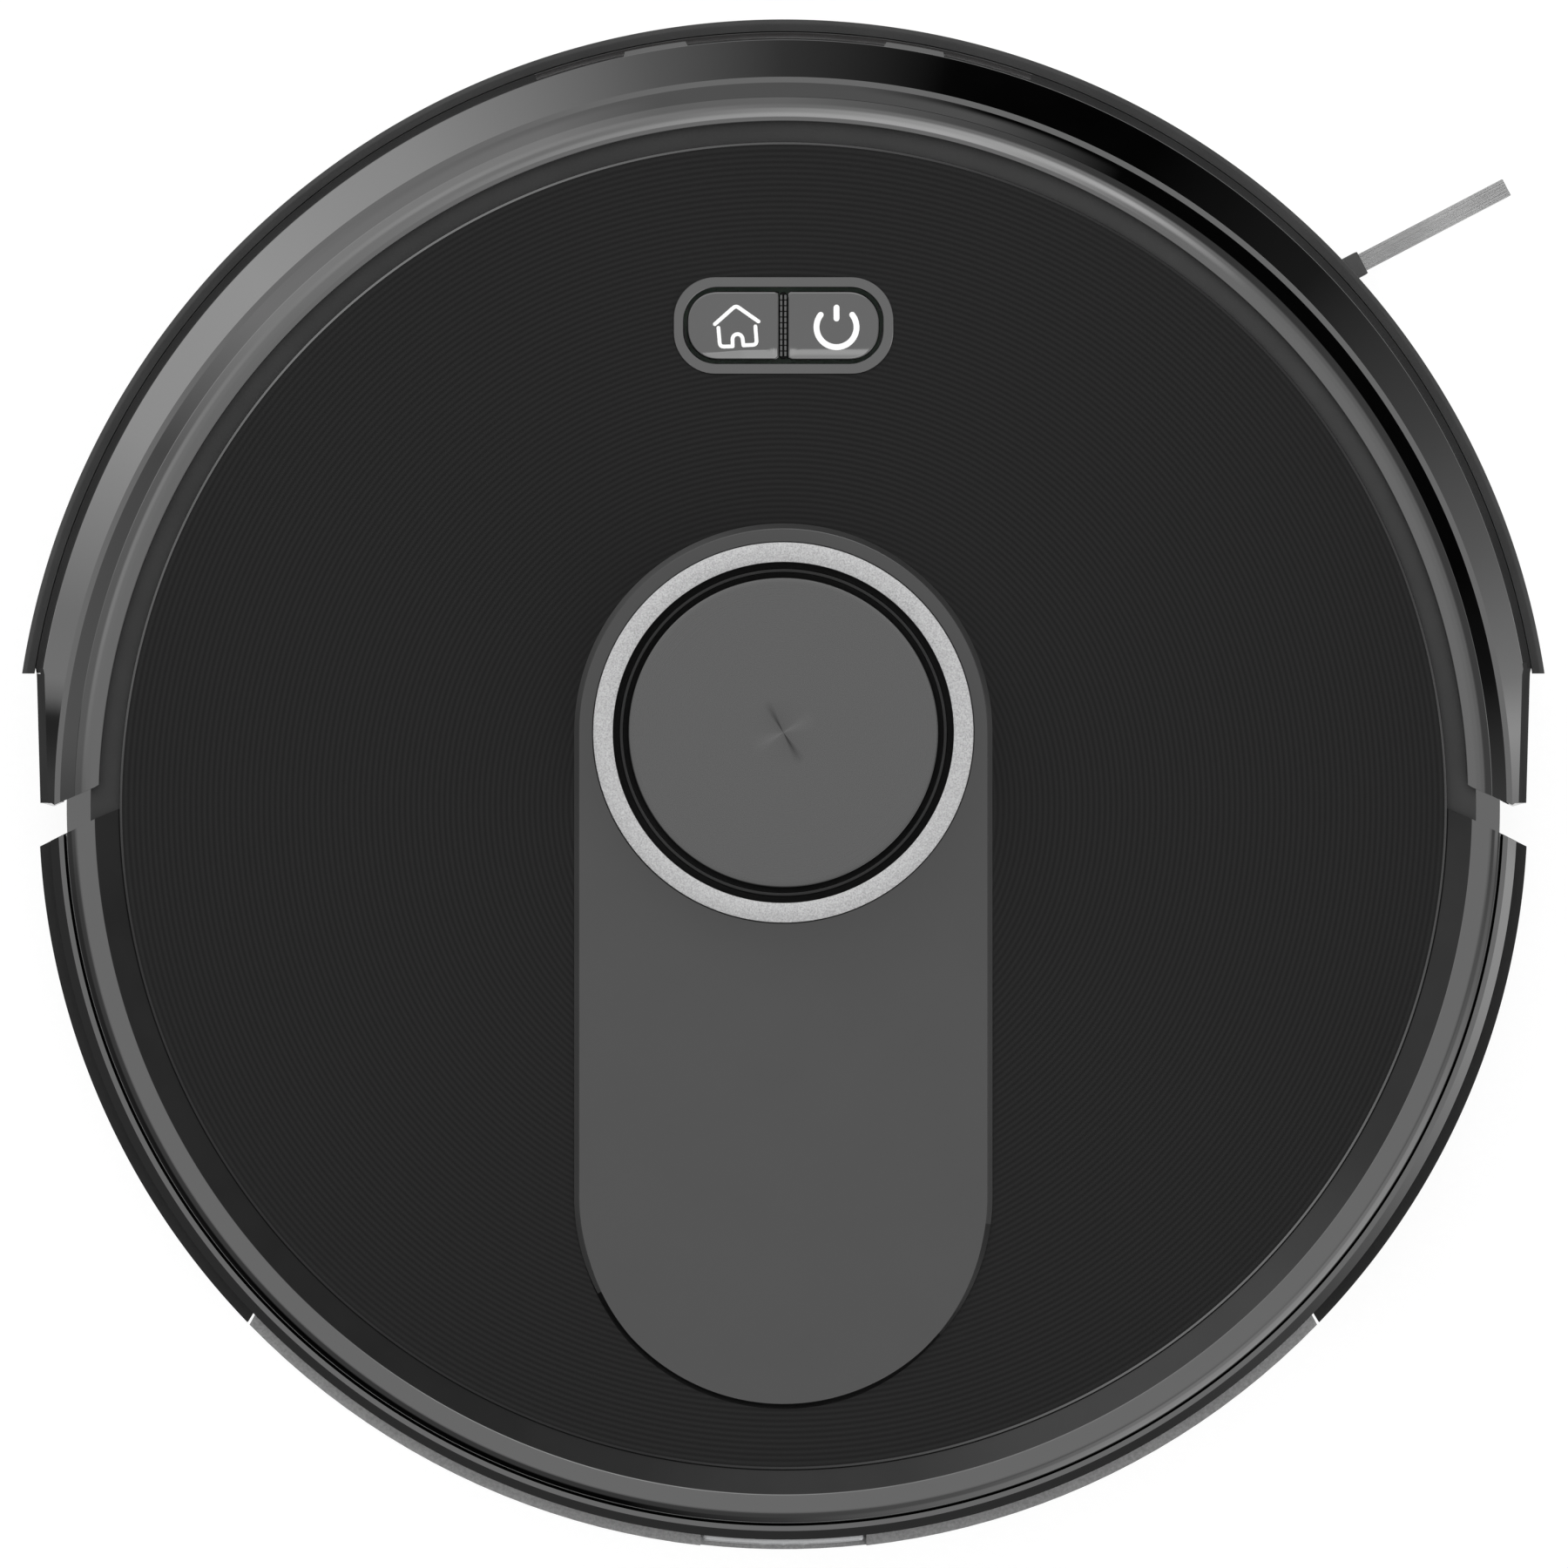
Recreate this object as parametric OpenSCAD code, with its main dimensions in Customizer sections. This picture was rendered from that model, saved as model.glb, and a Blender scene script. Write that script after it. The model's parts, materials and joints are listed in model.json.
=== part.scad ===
// Robot vacuum cleaner. Front is +Y, up is +Z, and the floor is z = 0.
// Every module is drawn about the upright axis of the round body, then moved
// back by frame_shift, so that the origin is the middle of the whole footprint.

/* [Body] */
// Radius of the round body behind the bumper
body_r = 165; // [164.5:0.1:165.5]
// Height of the flat rim around the top
rim_z = 78; // [77.5:0.1:78.5]
// Height of the underside above the floor
underside_z = 10; // [9.5:0.1:10.5]
// Thickness of the chassis floor
floor_t = 2.5; // [2:0.1:3]

/* [Bumper] */
// Distance that the bumper's outline sits forward of the body axis
bumper_shift = 3.6; // [3.4:0.1:3.8]
// Outer radius of the bumper strip
strip_r = 170.8; // [170:0.1:171.5]
// Outer radius of the bumper wall where the strip lies on it
bumper_wall_r = 168.1; // [167.8:0.1:168.4]
// Height of the strip
strip_h = 12; // [8:1:14]

/* [Top] */
// Radius of the grooved top cover
cover_r = 146.5; // [146:0.1:146.7]
// Radius of the raised deck panel's round ends
deck_r = 46.3; // [45.5:0.1:47]
// Distance between the centres of the deck panel's round ends
deck_span = 102.8; // [95:0.1:105]
// Distance of the turret axis in front of the body axis
turret_y = 16.2; // [15:0.1:17]
// Outer radius of the turret's metal ring
turret_r = 42; // [41.5:0.1:42]
// Height of the turret above the floor
turret_top_z = 96; // [95:0.5:97]

/* [Buttons] */
// Distance of the two buttons in front of the body axis
button_y = 106.3; // [104:0.1:108]
// Outer width of the bezel round the buttons
bezel_w = 48.7; // [48:0.1:50]
// Outer depth of the bezel
bezel_d = 21.6; // [21:0.1:22.5]

/* [Wheels and brushes] */
// Radius of a drive wheel over its tyre
wheel_r = 33; // [32:0.5:33.5]
// Width of a drive wheel
wheel_w = 20; // [18:0.5:20]
// Radius of the main brush over its bristles
brush_r = 20; // [18:0.5:20]
// Length of the side brush's arms
side_arm_r = 76; // [70:1:76]
// Radius of the caster wheel
caster_r = 13; // [12:0.5:13.5]

/* [Hidden] */
$fn = 144;

// Overshoot of a cutting tool, radial play of a running fit, and gap between
// bodies that pass each other
eps = 1;
run_fit = 0.05;
gap = 0.4;
huge = 400;

// The footprint runs from -body_r to the front of the strip
front_y = bumper_shift + strip_r;
frame_shift = (front_y - body_r) / 2;
floor_top_z = underside_z + floor_t;

// Colours
black = "#17181a";
gloss_black = "#0d0e10";
cover_grey = "#2b2c2f";
deck_grey = "#55575a";
silver = "#c9cbcc";
dark_steel = "#6f7275";
rubber_black = "#1f2022";
tank_grey = "#7c7f80";
steel = "#b4b7ba";
board_green = "#1d5a3a";
brass_gold = "#c9a24b";
bristle_grey = "#a7a9aa";

// Radii that the rim parts share
cover_z = rim_z - 0.6;
shelf_z = rim_z - 3.4;
rim_inner_r = 152.4;
seam_r = 159.2;
shell_band_r = 160.8;
shell_wall_r = 162.5;
chassis_r = 157.5;
ledge_z = 60;
flange_z = 70;
flange_t = 2.4;
crown_arc = 3;

// Corners of the slanted notch on each side: the rear shell's two, then the
// bumper's two and where its flat flank starts and ends
notch_out = [164.6, -8.8];
notch_in = [156.7, -5.1];
bumper_in = [151.4, 5];
bumper_out = [162.2, -0.2];
flank_rear = [164.8, 0.55];
flank_front = [165.6, 29.3];

// Main brush, its tunnel and its drive
brush_y = -62;
brush_z = brush_r + 0.5;
brush_half = 85;
tunnel_r = brush_r + 3;
tunnel_half = 88;
core_r = 8;
core_axle_r = 3;
gear_module = 0.8;
brush_teeth = 20;
pinion_teeth = 10;
gear_x = -99;
gear_w = 6;
pinion_angle = 110;
pinion_dist = gear_module * (brush_teeth + pinion_teeth) / 2;
pinion_y = brush_y + pinion_dist * cos(pinion_angle);
pinion_z = brush_z + pinion_dist * sin(pinion_angle);

// Drive wheels on their swinging arms
wheel_x = 118;
wheel_y = -14;
wheel_z = wheel_r;
arm_x0 = 96.5;
arm_x1 = 106;
arm_y = 32;
arm_z = 46;
arm_pin_r = 3;
axle_r = 3;
well_x0 = 93;
well_x1 = 132;
well_y0 = -50;
well_y1 = 47;
well_top_z = 70;
well_wall = 1.6;
spring_y = 4;
arm_eye_r = 10;
arm_hub_r = 14;
hub_r = 27;
hub_boss_r = 8;

// Caster
caster_y = 126;
caster_trail = 6;
caster_well_r = 22;
caster_well_z = 30;
caster_post_r = 4;
caster_pin_r = 1.5;
cheek_x0 = 7.8;
cheek_x1 = 10.4;
fork_top_z = 29.6;

// Side brush
side_x = 93.6;
side_y = 102.4;
side_angle = 27.6;
side_shaft_r = 2.5;
side_motor_r = 14;
side_motor_z = 18;
side_root_r = 39.7;

// Battery bay
bay_w = 82;
bay_y0 = 22;
bay_y1 = 100;

// Tank at the rear, seen from above: a trapezium that widens to the rear
tank_front_y = -91;
tank_front_x = 105.2;
tank_rear_y = -115;
tank_rear_x = 118.3;
tank_wall = 2;
tank_lid_t = 2.5;
tank_button_w = 36;

// Fan
fan_x = 46;
fan_y = -54;
fan_r = 36;
fan_z0 = 46;
fan_z1 = 71;

// LiDAR drive
lidar_motor_x = -20;
lidar_motor_y = -44;
lidar_motor_z = 45.5;
rotor_drum_r = 36;
pulley_r = 4.5;
collar_r = 23;
belt_t = 1;
lidar_base_z = 58.2;
lidar_legs = [[44, turret_y], [-44, turret_y], [0, -22]];

// Main board, in front of the battery's top
board_z = 56.2;
board_t = 1.6;
board_legs = [[66, 74], [54, 132]];

// Places of the case screws and of the floor sensors, for the right-hand side
screw_places = [[126, 56], [73, 117], [137, -59], [30, 8]];
screw_r = 1.5;
screw_head_r = 2.8;
cliff_angles = [32, 65, 115, 148];
contact_place = [36, 136];
cliff_r = 140;

// Points along an arc, from angle a0 to a1 about [cx, cz]
function arc(cx, cz, r, a0, a1, n = 8) =
    [for (i = [0:n]) let (a = a0 + (a1 - a0) * i / n) [cx + r * cos(a), cz + r * sin(a)]];

// Points round two circles and their outer tangents
function belt_points(p, rp, q, rq) =
    let (d = norm(q - p), a = atan2(q[1] - p[1], q[0] - p[0]), t = acos((rp - rq) / d))
    concat(arc(p[0], p[1], rp, a + t, a + 360 - t, 60), arc(q[0], q[1], rq, a - t, a + t, 16));

// Outline of the bumper's top, from its flat lip out over the rounded shoulder,
// down a slope to a narrow ridge and down the outer cone
lip_r = 153.4;
shoulder_tilt = 35;
shoulder_r = 157.4;
ridge_r0 = 160;
ridge_r1 = 161.2;
cone_tilt = 30;
shoulder_arc = (shoulder_r - lip_r) / sin(shoulder_tilt);
ridge_z = rim_z - shoulder_arc * (1 - cos(shoulder_tilt))
          - (ridge_r0 - shoulder_r) * tan(shoulder_tilt);
bumper_inner_r = 151.5;

function bumper_top(drop, z0) = concat(
    [[0, z0], [strip_r + 5, z0],
     [strip_r + 5, ridge_z - drop - (strip_r + 5 - ridge_r1) * tan(cone_tilt)],
     [ridge_r1, ridge_z - drop], [ridge_r0 - drop / 2, ridge_z - drop]],
    arc(lip_r, rim_z - drop - shoulder_arc, shoulder_arc, 90 - shoulder_tilt, 90),
    [[0, rim_z - drop]]);

// Outline of the bumper's side wall, drawn in by t
bumper_bottom_z = 14;
strip_z0 = 38;
strip_z1 = strip_z0 + strip_h;
wall_top_z = 69.5;
function bumper_side(t, z0) =
    [[0, z0], [bumper_wall_r - 6 - t, z0], [bumper_wall_r - 0.9 - t, 20],
     [bumper_wall_r - t, strip_z0], [bumper_wall_r - t, strip_z1],
     [bumper_wall_r - 2 - t, wall_top_z], [bumper_wall_r - 2 - t, rim_z + 2],
     [0, rim_z + 2]];

// ---------- helpers ----------

module at_body() {
    translate([0, -frame_shift, 0]) children();
}

module at_bumper() {
    translate([0, bumper_shift, 0]) children();
}

module both_sides() {
    children();
    mirror([1, 0, 0]) children();
}

module ring(r_in, r_out, z0, z1) {
    translate([0, 0, z0]) difference() {
        cylinder(r = r_out, h = z1 - z0);
        translate([0, 0, -eps]) cylinder(r = r_in, h = z1 - z0 + 2 * eps);
    }
}

module box(x0, x1, y0, y1, z0, z1) {
    translate([x0, y0, z0]) cube([x1 - x0, y1 - y0, z1 - z0]);
}

module rod_x(r, x0, x1, y, z) {
    translate([x0, y, z]) rotate([0, 90, 0]) cylinder(r = r, h = x1 - x0);
}

module round_rect(w, d, r) {
    square([w - 2 * r, d], center = true);
    square([w, d - 2 * r], center = true);
    for (sx = [-1, 1], sy = [-1, 1])
        translate([sx * (w / 2 - r), sy * (d / 2 - r)]) circle(r = r);
}

module round_block(w, d, r, z0, z1) {
    translate([0, 0, z0]) linear_extrude(z1 - z0) round_rect(w, d, r);
}

// A pie slice between two directions
module slice(a0, a1, z0, z1) {
    mid = (a0 + a1) / 2;
    translate([0, 0, z0]) linear_extrude(z1 - z0)
        polygon([[0, 0], [huge * cos(a0), huge * sin(a0)], [huge * cos(mid), huge * sin(mid)],
                 [huge * cos(a1), huge * sin(a1)]]);
}

// The outline round two circles and their outer tangents
module belt_outline(p, rp, q, rq) {
    d = norm(q - p);
    a = atan2(q[1] - p[1], q[0] - p[0]);
    t = acos((rp - rq) / d);
    // The straight runs start a hair inside the circles, so that they cross them
    sp = rp - 0.01;
    sq = rq - 0.01;
    translate(p) circle(r = rp);
    translate(q) circle(r = rq);
    polygon([p + sp * [cos(a + t), sin(a + t)], q + sq * [cos(a + t), sin(a + t)],
             q + sq * [cos(a - t), sin(a - t)], p + sp * [cos(a - t), sin(a - t)]]);
}

// Spur gear about Z with a tooth centred on the direction phase
module spur(teeth, width, bore, phase) {
    rp = gear_module * teeth / 2;
    root = rp - 1.25 * gear_module;
    tip = rp + 0.85 * gear_module;
    pitch = 360 / teeth;
    difference() {
        linear_extrude(width) union() {
            circle(r = root);
            for (i = [0:teeth - 1]) rotate(phase + i * pitch)
                polygon([[root * cos(pitch * 0.3) - 0.2, -root * sin(pitch * 0.3)],
                         [rp, -rp * sin(pitch * 0.2)], [tip, -tip * sin(pitch * 0.09)],
                         [tip, tip * sin(pitch * 0.09)], [rp, rp * sin(pitch * 0.2)],
                         [root * cos(pitch * 0.3) - 0.2, root * sin(pitch * 0.3)]]);
        }
        translate([0, 0, -eps]) cylinder(r = bore, h = width + 2 * eps);
    }
}

// Coil spring along +Z, from 0 to length
module coil(r, wire_r, length, turns) {
    steps = 12;
    sides = 6;
    n = turns * steps;
    rise = length - 2 * wire_r;
    pts = [for (i = [0:n], k = [0:sides - 1])
        let (a = 360 * i / steps, b = 360 * k / sides, rr = r + wire_r * cos(b))
        [rr * cos(a), rr * sin(a), wire_r + rise * i / n + wire_r * sin(b)]];
    walls = [for (i = [0:n - 1], k = [0:sides - 1])
        let (m = (k + 1) % sides)
        [i * sides + k, i * sides + m, (i + 1) * sides + m, (i + 1) * sides + k]];
    polyhedron(points = pts, faces = concat(
        [[for (k = [sides - 1:-1:0]) k]], walls, [[for (k = [0:sides - 1]) n * sides + k]]));
}

// Seen from above, the tank or, with g > 0, the hollow it slides into
module tank_plan(g) {
    polygon([[-tank_front_x - g, tank_front_y + g], [tank_front_x + g, tank_front_y + g],
             [tank_rear_x + g, tank_rear_y + g], [tank_rear_x + g, -huge],
             [-tank_rear_x - g, -huge], [-tank_rear_x - g, tank_rear_y + g]]);
}

module tank_hollow() {
    translate([0, 0, underside_z - eps]) linear_extrude(ledge_z + gap - underside_z + eps)
        tank_plan(0.5);
}

module tunnel(r, half, z0) {
    intersection() {
        union() {
            rod_x(r, -half, half, brush_y, brush_z);
            box(-half, half, brush_y - r, brush_y + r, z0, brush_z);
        }
        box(-huge, huge, -huge, huge, z0, huge);
    }
}

// ---------- chassis and shells ----------

module chassis_bowl() {
    rotate_extrude() polygon([
        [0, underside_z], [chassis_r - 9.5, underside_z], [chassis_r, underside_z + 8],
        [chassis_r, flange_z], [chassis_r - floor_t, flange_z],
        [chassis_r - floor_t, underside_z + 9],
        [chassis_r - 10.5, floor_top_z], [0, floor_top_z]]);
}

module wheel_well() {
    difference() {
        box(well_x0, well_x1 + well_wall, well_y0 - well_wall, well_y1 + well_wall,
            floor_top_z - eps, well_top_z);
        box(well_x0 + well_wall, well_x1, well_y0, well_y1, underside_z - eps,
            well_top_z - well_wall);
    }
    // Outer ear that holds the arm pin, hung from the roof of the well
    box(arm_x1 + 1.5, arm_x1 + 3.5, arm_y - 9, arm_y + 10, arm_z - 10, well_top_z - well_wall);
}

module caster_cup() {
    outer = caster_well_r + well_wall;
    post = caster_post_r + run_fit;
    translate([0, caster_y, 0]) {
        ring(caster_well_r, outer, underside_z + 1, caster_well_z);
        ring(post, outer, caster_well_z, caster_well_z + well_wall);
        // Boss that the caster's post turns in
        ring(post, 9, caster_well_z, caster_well_z + 15);
    }
}

// Upright post from inside the chassis floor up to z1
module post(p, r, z1) {
    translate([p[0], p[1], floor_top_z - eps]) cylinder(r = r, h = z1 - floor_top_z + eps);
}

module chassis() color(black) at_body() difference() {
    union() {
        difference() {
            union() {
                chassis_bowl();
                tunnel(tunnel_r + well_wall, tunnel_half + 2, underside_z);
                // Seat for the fan on the roof of the brush tunnel
                box(fan_x - 20, fan_x + 20, brush_y - 6, brush_y + 12, 40, fan_z0 - 0.2);
                both_sides() wheel_well();
                for (p = screw_places) both_sides() post(p, 4, 36);
                // Legs of the LiDAR base and of the main board
                for (p = lidar_legs) post(p, 4, lidar_base_z - 0.2);
                for (p = board_legs) both_sides() post(p, 3.2, board_z - 0.2);
                // Seat of the side brush's gear motor
                translate([side_x, side_y, 0])
                    ring(6, side_motor_r - 1, floor_top_z - eps, side_motor_z - 0.1);
            }
            // Openings in the floor
            both_sides() box(well_x0 + well_wall, well_x1, well_y0, 34, underside_z - eps,
                             floor_top_z + eps);
            tunnel(tunnel_r, tunnel_half, underside_z - eps);
            translate([0, caster_y, underside_z - eps])
                cylinder(r = caster_well_r + 1, h = floor_t + 2 * eps);
            box(-bay_w / 2, bay_w / 2, bay_y0, bay_y1, underside_z - eps, floor_top_z + eps);
            // Duct from the brush tunnel to the tank
            box(-40, 40, brush_y - tunnel_r - 5, brush_y - 15, 24, 40);
            // Bays in the tunnel's end walls for the gearbox and the bearing
            rod_x(6, -tunnel_half - 5, -tunnel_half + eps, brush_y, brush_z);
            rod_x(7, tunnel_half - eps, tunnel_half + 5, brush_y, brush_z);
            box(gear_x - 9.1, -tunnel_half - 1.9, brush_y - 12.1, brush_y + 10.3,
                underside_z - eps, floor_top_z + eps);
            // Seat and shaft hole of the side brush
            translate([side_x, side_y, underside_z - eps]) cylinder(r = 16, h = eps + 1.5);
            translate([side_x, side_y, underside_z]) cylinder(r = 6, h = floor_t + eps);
            // Pockets for sensor windows, contacts and screws
            cliff_blocks(0.1, eps);
            contact_blocks(0.1, eps);
            for (p = screw_places) both_sides() translate([p[0], p[1], underside_z - eps]) {
                cylinder(r = screw_head_r + 0.6, h = eps + 1.7);
                cylinder(r = screw_r, h = 22);
            }
            tank_hollow();
            exhaust_slots();
            // Bore of each arm pin
            both_sides() rod_x(arm_pin_r + 0.02, well_x0 - eps, arm_x1 + 5, arm_y, arm_z);
        }
        caster_cup();
    }
    box(-huge, huge, -huge, huge, -huge, underside_z);
}

module rear_shell() color(gloss_black) at_body() difference() {
    rotate_extrude() polygon([
        [chassis_r + 0.4, underside_z + 3], [body_r - 5.5, underside_z + 3],
        [body_r, underside_z + 14], [body_r, ledge_z], [shell_wall_r, ledge_z],
        [shell_wall_r, shelf_z - 0.6], [shell_band_r, shelf_z + 1], [seam_r + 0.25, shelf_z + 1],
        [seam_r + 0.25, 69.6], [chassis_r + 0.4, 69.6]]);
    // Slanted ends at the side notches
    translate([0, 0, -eps]) linear_extrude(huge) polygon([
        [-200, 200], [200, 200], [200, -25.4], notch_out, notch_in,
        [-notch_in[0], notch_in[1]], [-notch_out[0], notch_out[1]], [-200, -25.4]]);
    tank_hollow();
    exhaust_slots();
}

// Upright slots low on both flanks
module exhaust_slots() both_sides()
    for (i = [0:6]) rotate(343 - 3 * i)
        box(chassis_r - 6, body_r + 3, -1.2, 1.2, 30, 50);

module top_ring() color(gloss_black) at_body() {
    // Base ring under the top cover, and the flange that stands on the chassis
    ring(141, lip_r, flange_z + flange_t, shelf_z);
    ring(150, chassis_r - 0.1, flange_z, flange_z + flange_t);
    // Flat beside each notch
    intersection() {
        ring(153, 158.7, flange_z + 2, shelf_z - 1);
        box(-huge, huge, -20, 4, 0, huge);
    }
    // Crown round the rear, with its sloped inner face and rounded shoulder
    intersection() {
        rotate_extrude() polygon(concat(
            [[cover_r + 0.4, shelf_z - 0.5], [cover_r + 0.4, shelf_z + 0.6],
             [rim_inner_r, rim_z - 0.2], [rim_inner_r + 0.4, rim_z]],
            arc(seam_r - crown_arc, rim_z - crown_arc, crown_arc, 90, 0),
            [[seam_r, shelf_z - 0.5], [seam_r, 70.2], [153.2, 70.2], [153.2, shelf_z - 0.5]]));
        linear_extrude(huge) polygon([
            [-200, -huge], [200, -huge], [200, -22], notch_in, [150, -2.5],
            [-150, -2.5], [-notch_in[0], notch_in[1]], [-200, -22]]);
    }
}

module top_cover() color(cover_grey) at_body() difference() {
    rotate_extrude() polygon([
        [0, shelf_z], [cover_r, shelf_z], [cover_r, cover_z - 0.4], [cover_r - 0.4, cover_z],
        [0, cover_z]]);
    translate([0, turret_y, 0]) cylinder(r = turret_r + 0.25, h = huge);
    translate([0, button_y, 0]) round_block(bezel_w + 0.2, bezel_d + 0.2, 9.4, 0, huge);
}

module deck_panel() color(deck_grey) at_body() difference() {
    h = 1.4;
    edge = 0.7;
    union() {
        for (y = [turret_y, turret_y - deck_span]) translate([0, y, cover_z]) {
            cylinder(r = deck_r, h = h - edge);
            translate([0, 0, h - edge]) cylinder(r1 = deck_r, r2 = deck_r - edge, h = edge);
        }
        translate([0, turret_y, cover_z]) rotate([90, 0, 0]) linear_extrude(deck_span)
            polygon([[-deck_r, 0], [deck_r, 0], [deck_r, h - edge], [deck_r - edge, h],
                     [-deck_r + edge, h], [-deck_r, h - edge]]);
    }
    translate([0, turret_y, 0]) cylinder(r = turret_r + 0.25, h = huge);
}

// ---------- LiDAR turret ----------

module turret_housing() color(gloss_black) at_body() translate([0, turret_y, 0]) {
    wall_r = turret_r - 0.4;
    slot_z0 = 83;
    slot_z1 = 91;
    ring(38.8, turret_r + 3, 72, shelf_z);
    ring(38.8, wall_r, shelf_z, slot_z0);
    for (a = [30, 150, 270]) intersection() {
        ring(39.2, wall_r - 0.4, slot_z0, slot_z1);
        slice(a - 6, a + 6, 0, huge);
    }
    ring(0.8, wall_r, slot_z1, turret_top_z - 2.5);
    ring(35.9, 36.3, turret_top_z - 2.5, turret_top_z - 1.9);
}

module turret_ring() color(silver) at_body() translate([0, turret_y, 0])
    rotate_extrude() polygon([
        [37.7, turret_top_z - 2.5], [turret_r, turret_top_z - 2.5], [turret_r, turret_top_z - 0.3],
        [turret_r - 0.3, turret_top_z], [38, turret_top_z], [37.7, turret_top_z - 0.3]]);

module turret_cap() color(dark_steel) at_body() translate([0, turret_y, 0])
    rotate_extrude() polygon([
        [0, turret_top_z - 2.5], [34.3, turret_top_z - 2.5], [34.3, turret_top_z - 0.7],
        [34, turret_top_z - 0.4], [0, turret_top_z - 0.4]]);

module lidar_base() color(black) at_body() {
    difference() {
        translate([0, 0, lidar_base_z]) linear_extrude(1.8)
            belt_outline([0, turret_y], 46, [lidar_motor_x, lidar_motor_y], 13);
        translate([lidar_motor_x, lidar_motor_y, 50]) cylinder(r = 2, h = 20);
        translate([0, turret_y, 50]) cylinder(r = 12, h = 20);
    }
    translate([0, turret_y, 0]) ring(collar_r - 2.5, collar_r, 60, 66);
}

module lidar_rotor() color(black) at_body() translate([0, turret_y, 0]) {
    // Drum with the belt's groove, turning on the base's collar
    rotate_extrude() polygon([
        [collar_r + run_fit, 60.6], [rotor_drum_r + 1, 60.6], [rotor_drum_r + 1, 62],
        [rotor_drum_r, 62.4], [rotor_drum_r, 66.6], [rotor_drum_r + 1, 67],
        [rotor_drum_r + 1, 68.4], [0, 68.4], [0, 66.6], [collar_r + run_fit, 66.6]]);
    // Measuring head, with the two lens tunnels in its front
    difference() {
        intersection() {
            translate([0, 0, 68.4]) cylinder(r = 34, h = 21);
            box(-27, 27, -14, 30, 60, 90);
        }
        for (lens = [[-11, 5], [12, 7]])
            translate([lens[0], 0, 80]) rotate([-90, 0, 0]) cylinder(r = lens[1], h = 60);
    }
}

module lidar_motor() color(steel) at_body() translate([lidar_motor_x, lidar_motor_y, 0]) {
    ring(1 + run_fit, 11, lidar_motor_z, lidar_base_z);
}

module lidar_pulley() color(brass_gold) at_body()
    translate([lidar_motor_x, lidar_motor_y, 0]) {
        translate([0, 0, lidar_motor_z + 0.6]) cylinder(r = 1, h = 15);
        rotate_extrude() polygon([
            [0, 61], [pulley_r + 1, 61], [pulley_r + 1, 62], [pulley_r, 62.4],
            [pulley_r, 66.6], [pulley_r + 1, 67], [pulley_r + 1, 68], [0, 68]]);
    }

module lidar_belt() color(rubber_black) at_body()
    translate([0, 0, 63]) linear_extrude(3) difference() {
        polygon(belt_points([0, turret_y], rotor_drum_r + gap + belt_t,
                            [lidar_motor_x, lidar_motor_y], pulley_r + gap + belt_t));
        polygon(belt_points([0, turret_y], rotor_drum_r + gap,
                            [lidar_motor_x, lidar_motor_y], pulley_r + gap));
    }

// ---------- buttons ----------

module button_bezel() color(gloss_black) at_body() translate([0, button_y, 0]) difference() {
    union() {
        round_block(bezel_w, bezel_d, 9.3, shelf_z - 1, cover_z + 0.6);
        round_block(bezel_w + 6, bezel_d + 6, 10, shelf_z - 2, shelf_z);
    }
    round_block(bezel_w - 4.5, bezel_d - 4.7, 7.4, 60, 90);
}

// Both caps share one rounded outline, cut in two beside the divider
module button_cap(side) {
    cap_z1 = cover_z + 0.4;
    intersection() {
        round_block(bezel_w - 6.2, bezel_d - 6.4, 6.6, cap_z1 - 2.4, cap_z1);
        box(side > 0 ? 1.05 : -40, side > 0 ? 40 : -1.05, -20, 20, 60, 90);
    }
    translate([side * 11, 0, 69]) cylinder(r = 2.5, h = cap_z1 - 71);
}

module home_button() color(gloss_black) at_body() translate([0, button_y, 0]) button_cap(-1);

module power_button() color(gloss_black) at_body() translate([0, button_y, 0]) button_cap(1);

module button_divider() color(dark_steel) at_body() translate([0, button_y, 0]) {
    round_block(1.7, bezel_d - 6.8, 0.8, 70, cover_z + 0.3);
    round_block(1.7, bezel_d + 4, 0.8, 70, 71.6);
}

module button_board() color(board_green) at_body() translate([0, button_y, 0]) {
    round_block(60, 26, 2, 64, 65.6);
    for (side = [-1, 1]) translate([side * 11, 0, 0]) {
        round_block(6, 6, 0.5, 65.6, 67.6);
        translate([0, 0, 67.6]) cylinder(r = 1.7, h = 0.7);
    }
}

// ---------- bumper ----------

module bumper_form(t, drop, z0) intersection() {
    rotate_extrude() polygon(bumper_top(drop, z0));
    at_bumper() rotate_extrude() polygon(bumper_side(t, z0));
}

module window_zone(grow) intersection() {
    at_bumper() ring(bumper_wall_r - 3.2 - grow, strip_r, 53 - grow, 66 + grow);
    at_bumper() slice(71 - grow, 109 + grow, 0, huge);
}

module bumper() color(gloss_black) at_body() difference() {
    intersection() {
        bumper_form(0, 0, bumper_bottom_z);
        // Flat flanks and slanted ends
        both_sides() linear_extrude(huge) polygon([
            [-eps, bumper_in[1]], bumper_in, bumper_out, flank_rear, flank_front,
            [200, flank_front[1]], [200, 200], [-eps, 200]]);
    }
    intersection() {
        bumper_form(2.4, 1.7, bumper_bottom_z - eps);
        box(-162.6, 162.6, -20, 200, 0, huge);
    }
    cylinder(r = bumper_inner_r, h = huge);
    window_zone(0.1);
}

module bumper_strip() color(rubber_black) at_body() intersection() {
    at_bumper() rotate_extrude() polygon([
        [bumper_wall_r, strip_z0], [strip_r - 1, strip_z0], [strip_r, strip_z0 + 1.5],
        [strip_r, strip_z1 - 1.5], [strip_r - 1, strip_z1], [bumper_wall_r, strip_z1]]);
    box(-200, 200, flank_front[1], 200, 0, huge);
}

module sensor_window() color("#22090b") at_body() intersection() {
    bumper_form(0, 0, bumper_bottom_z);
    window_zone(0);
}

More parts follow.
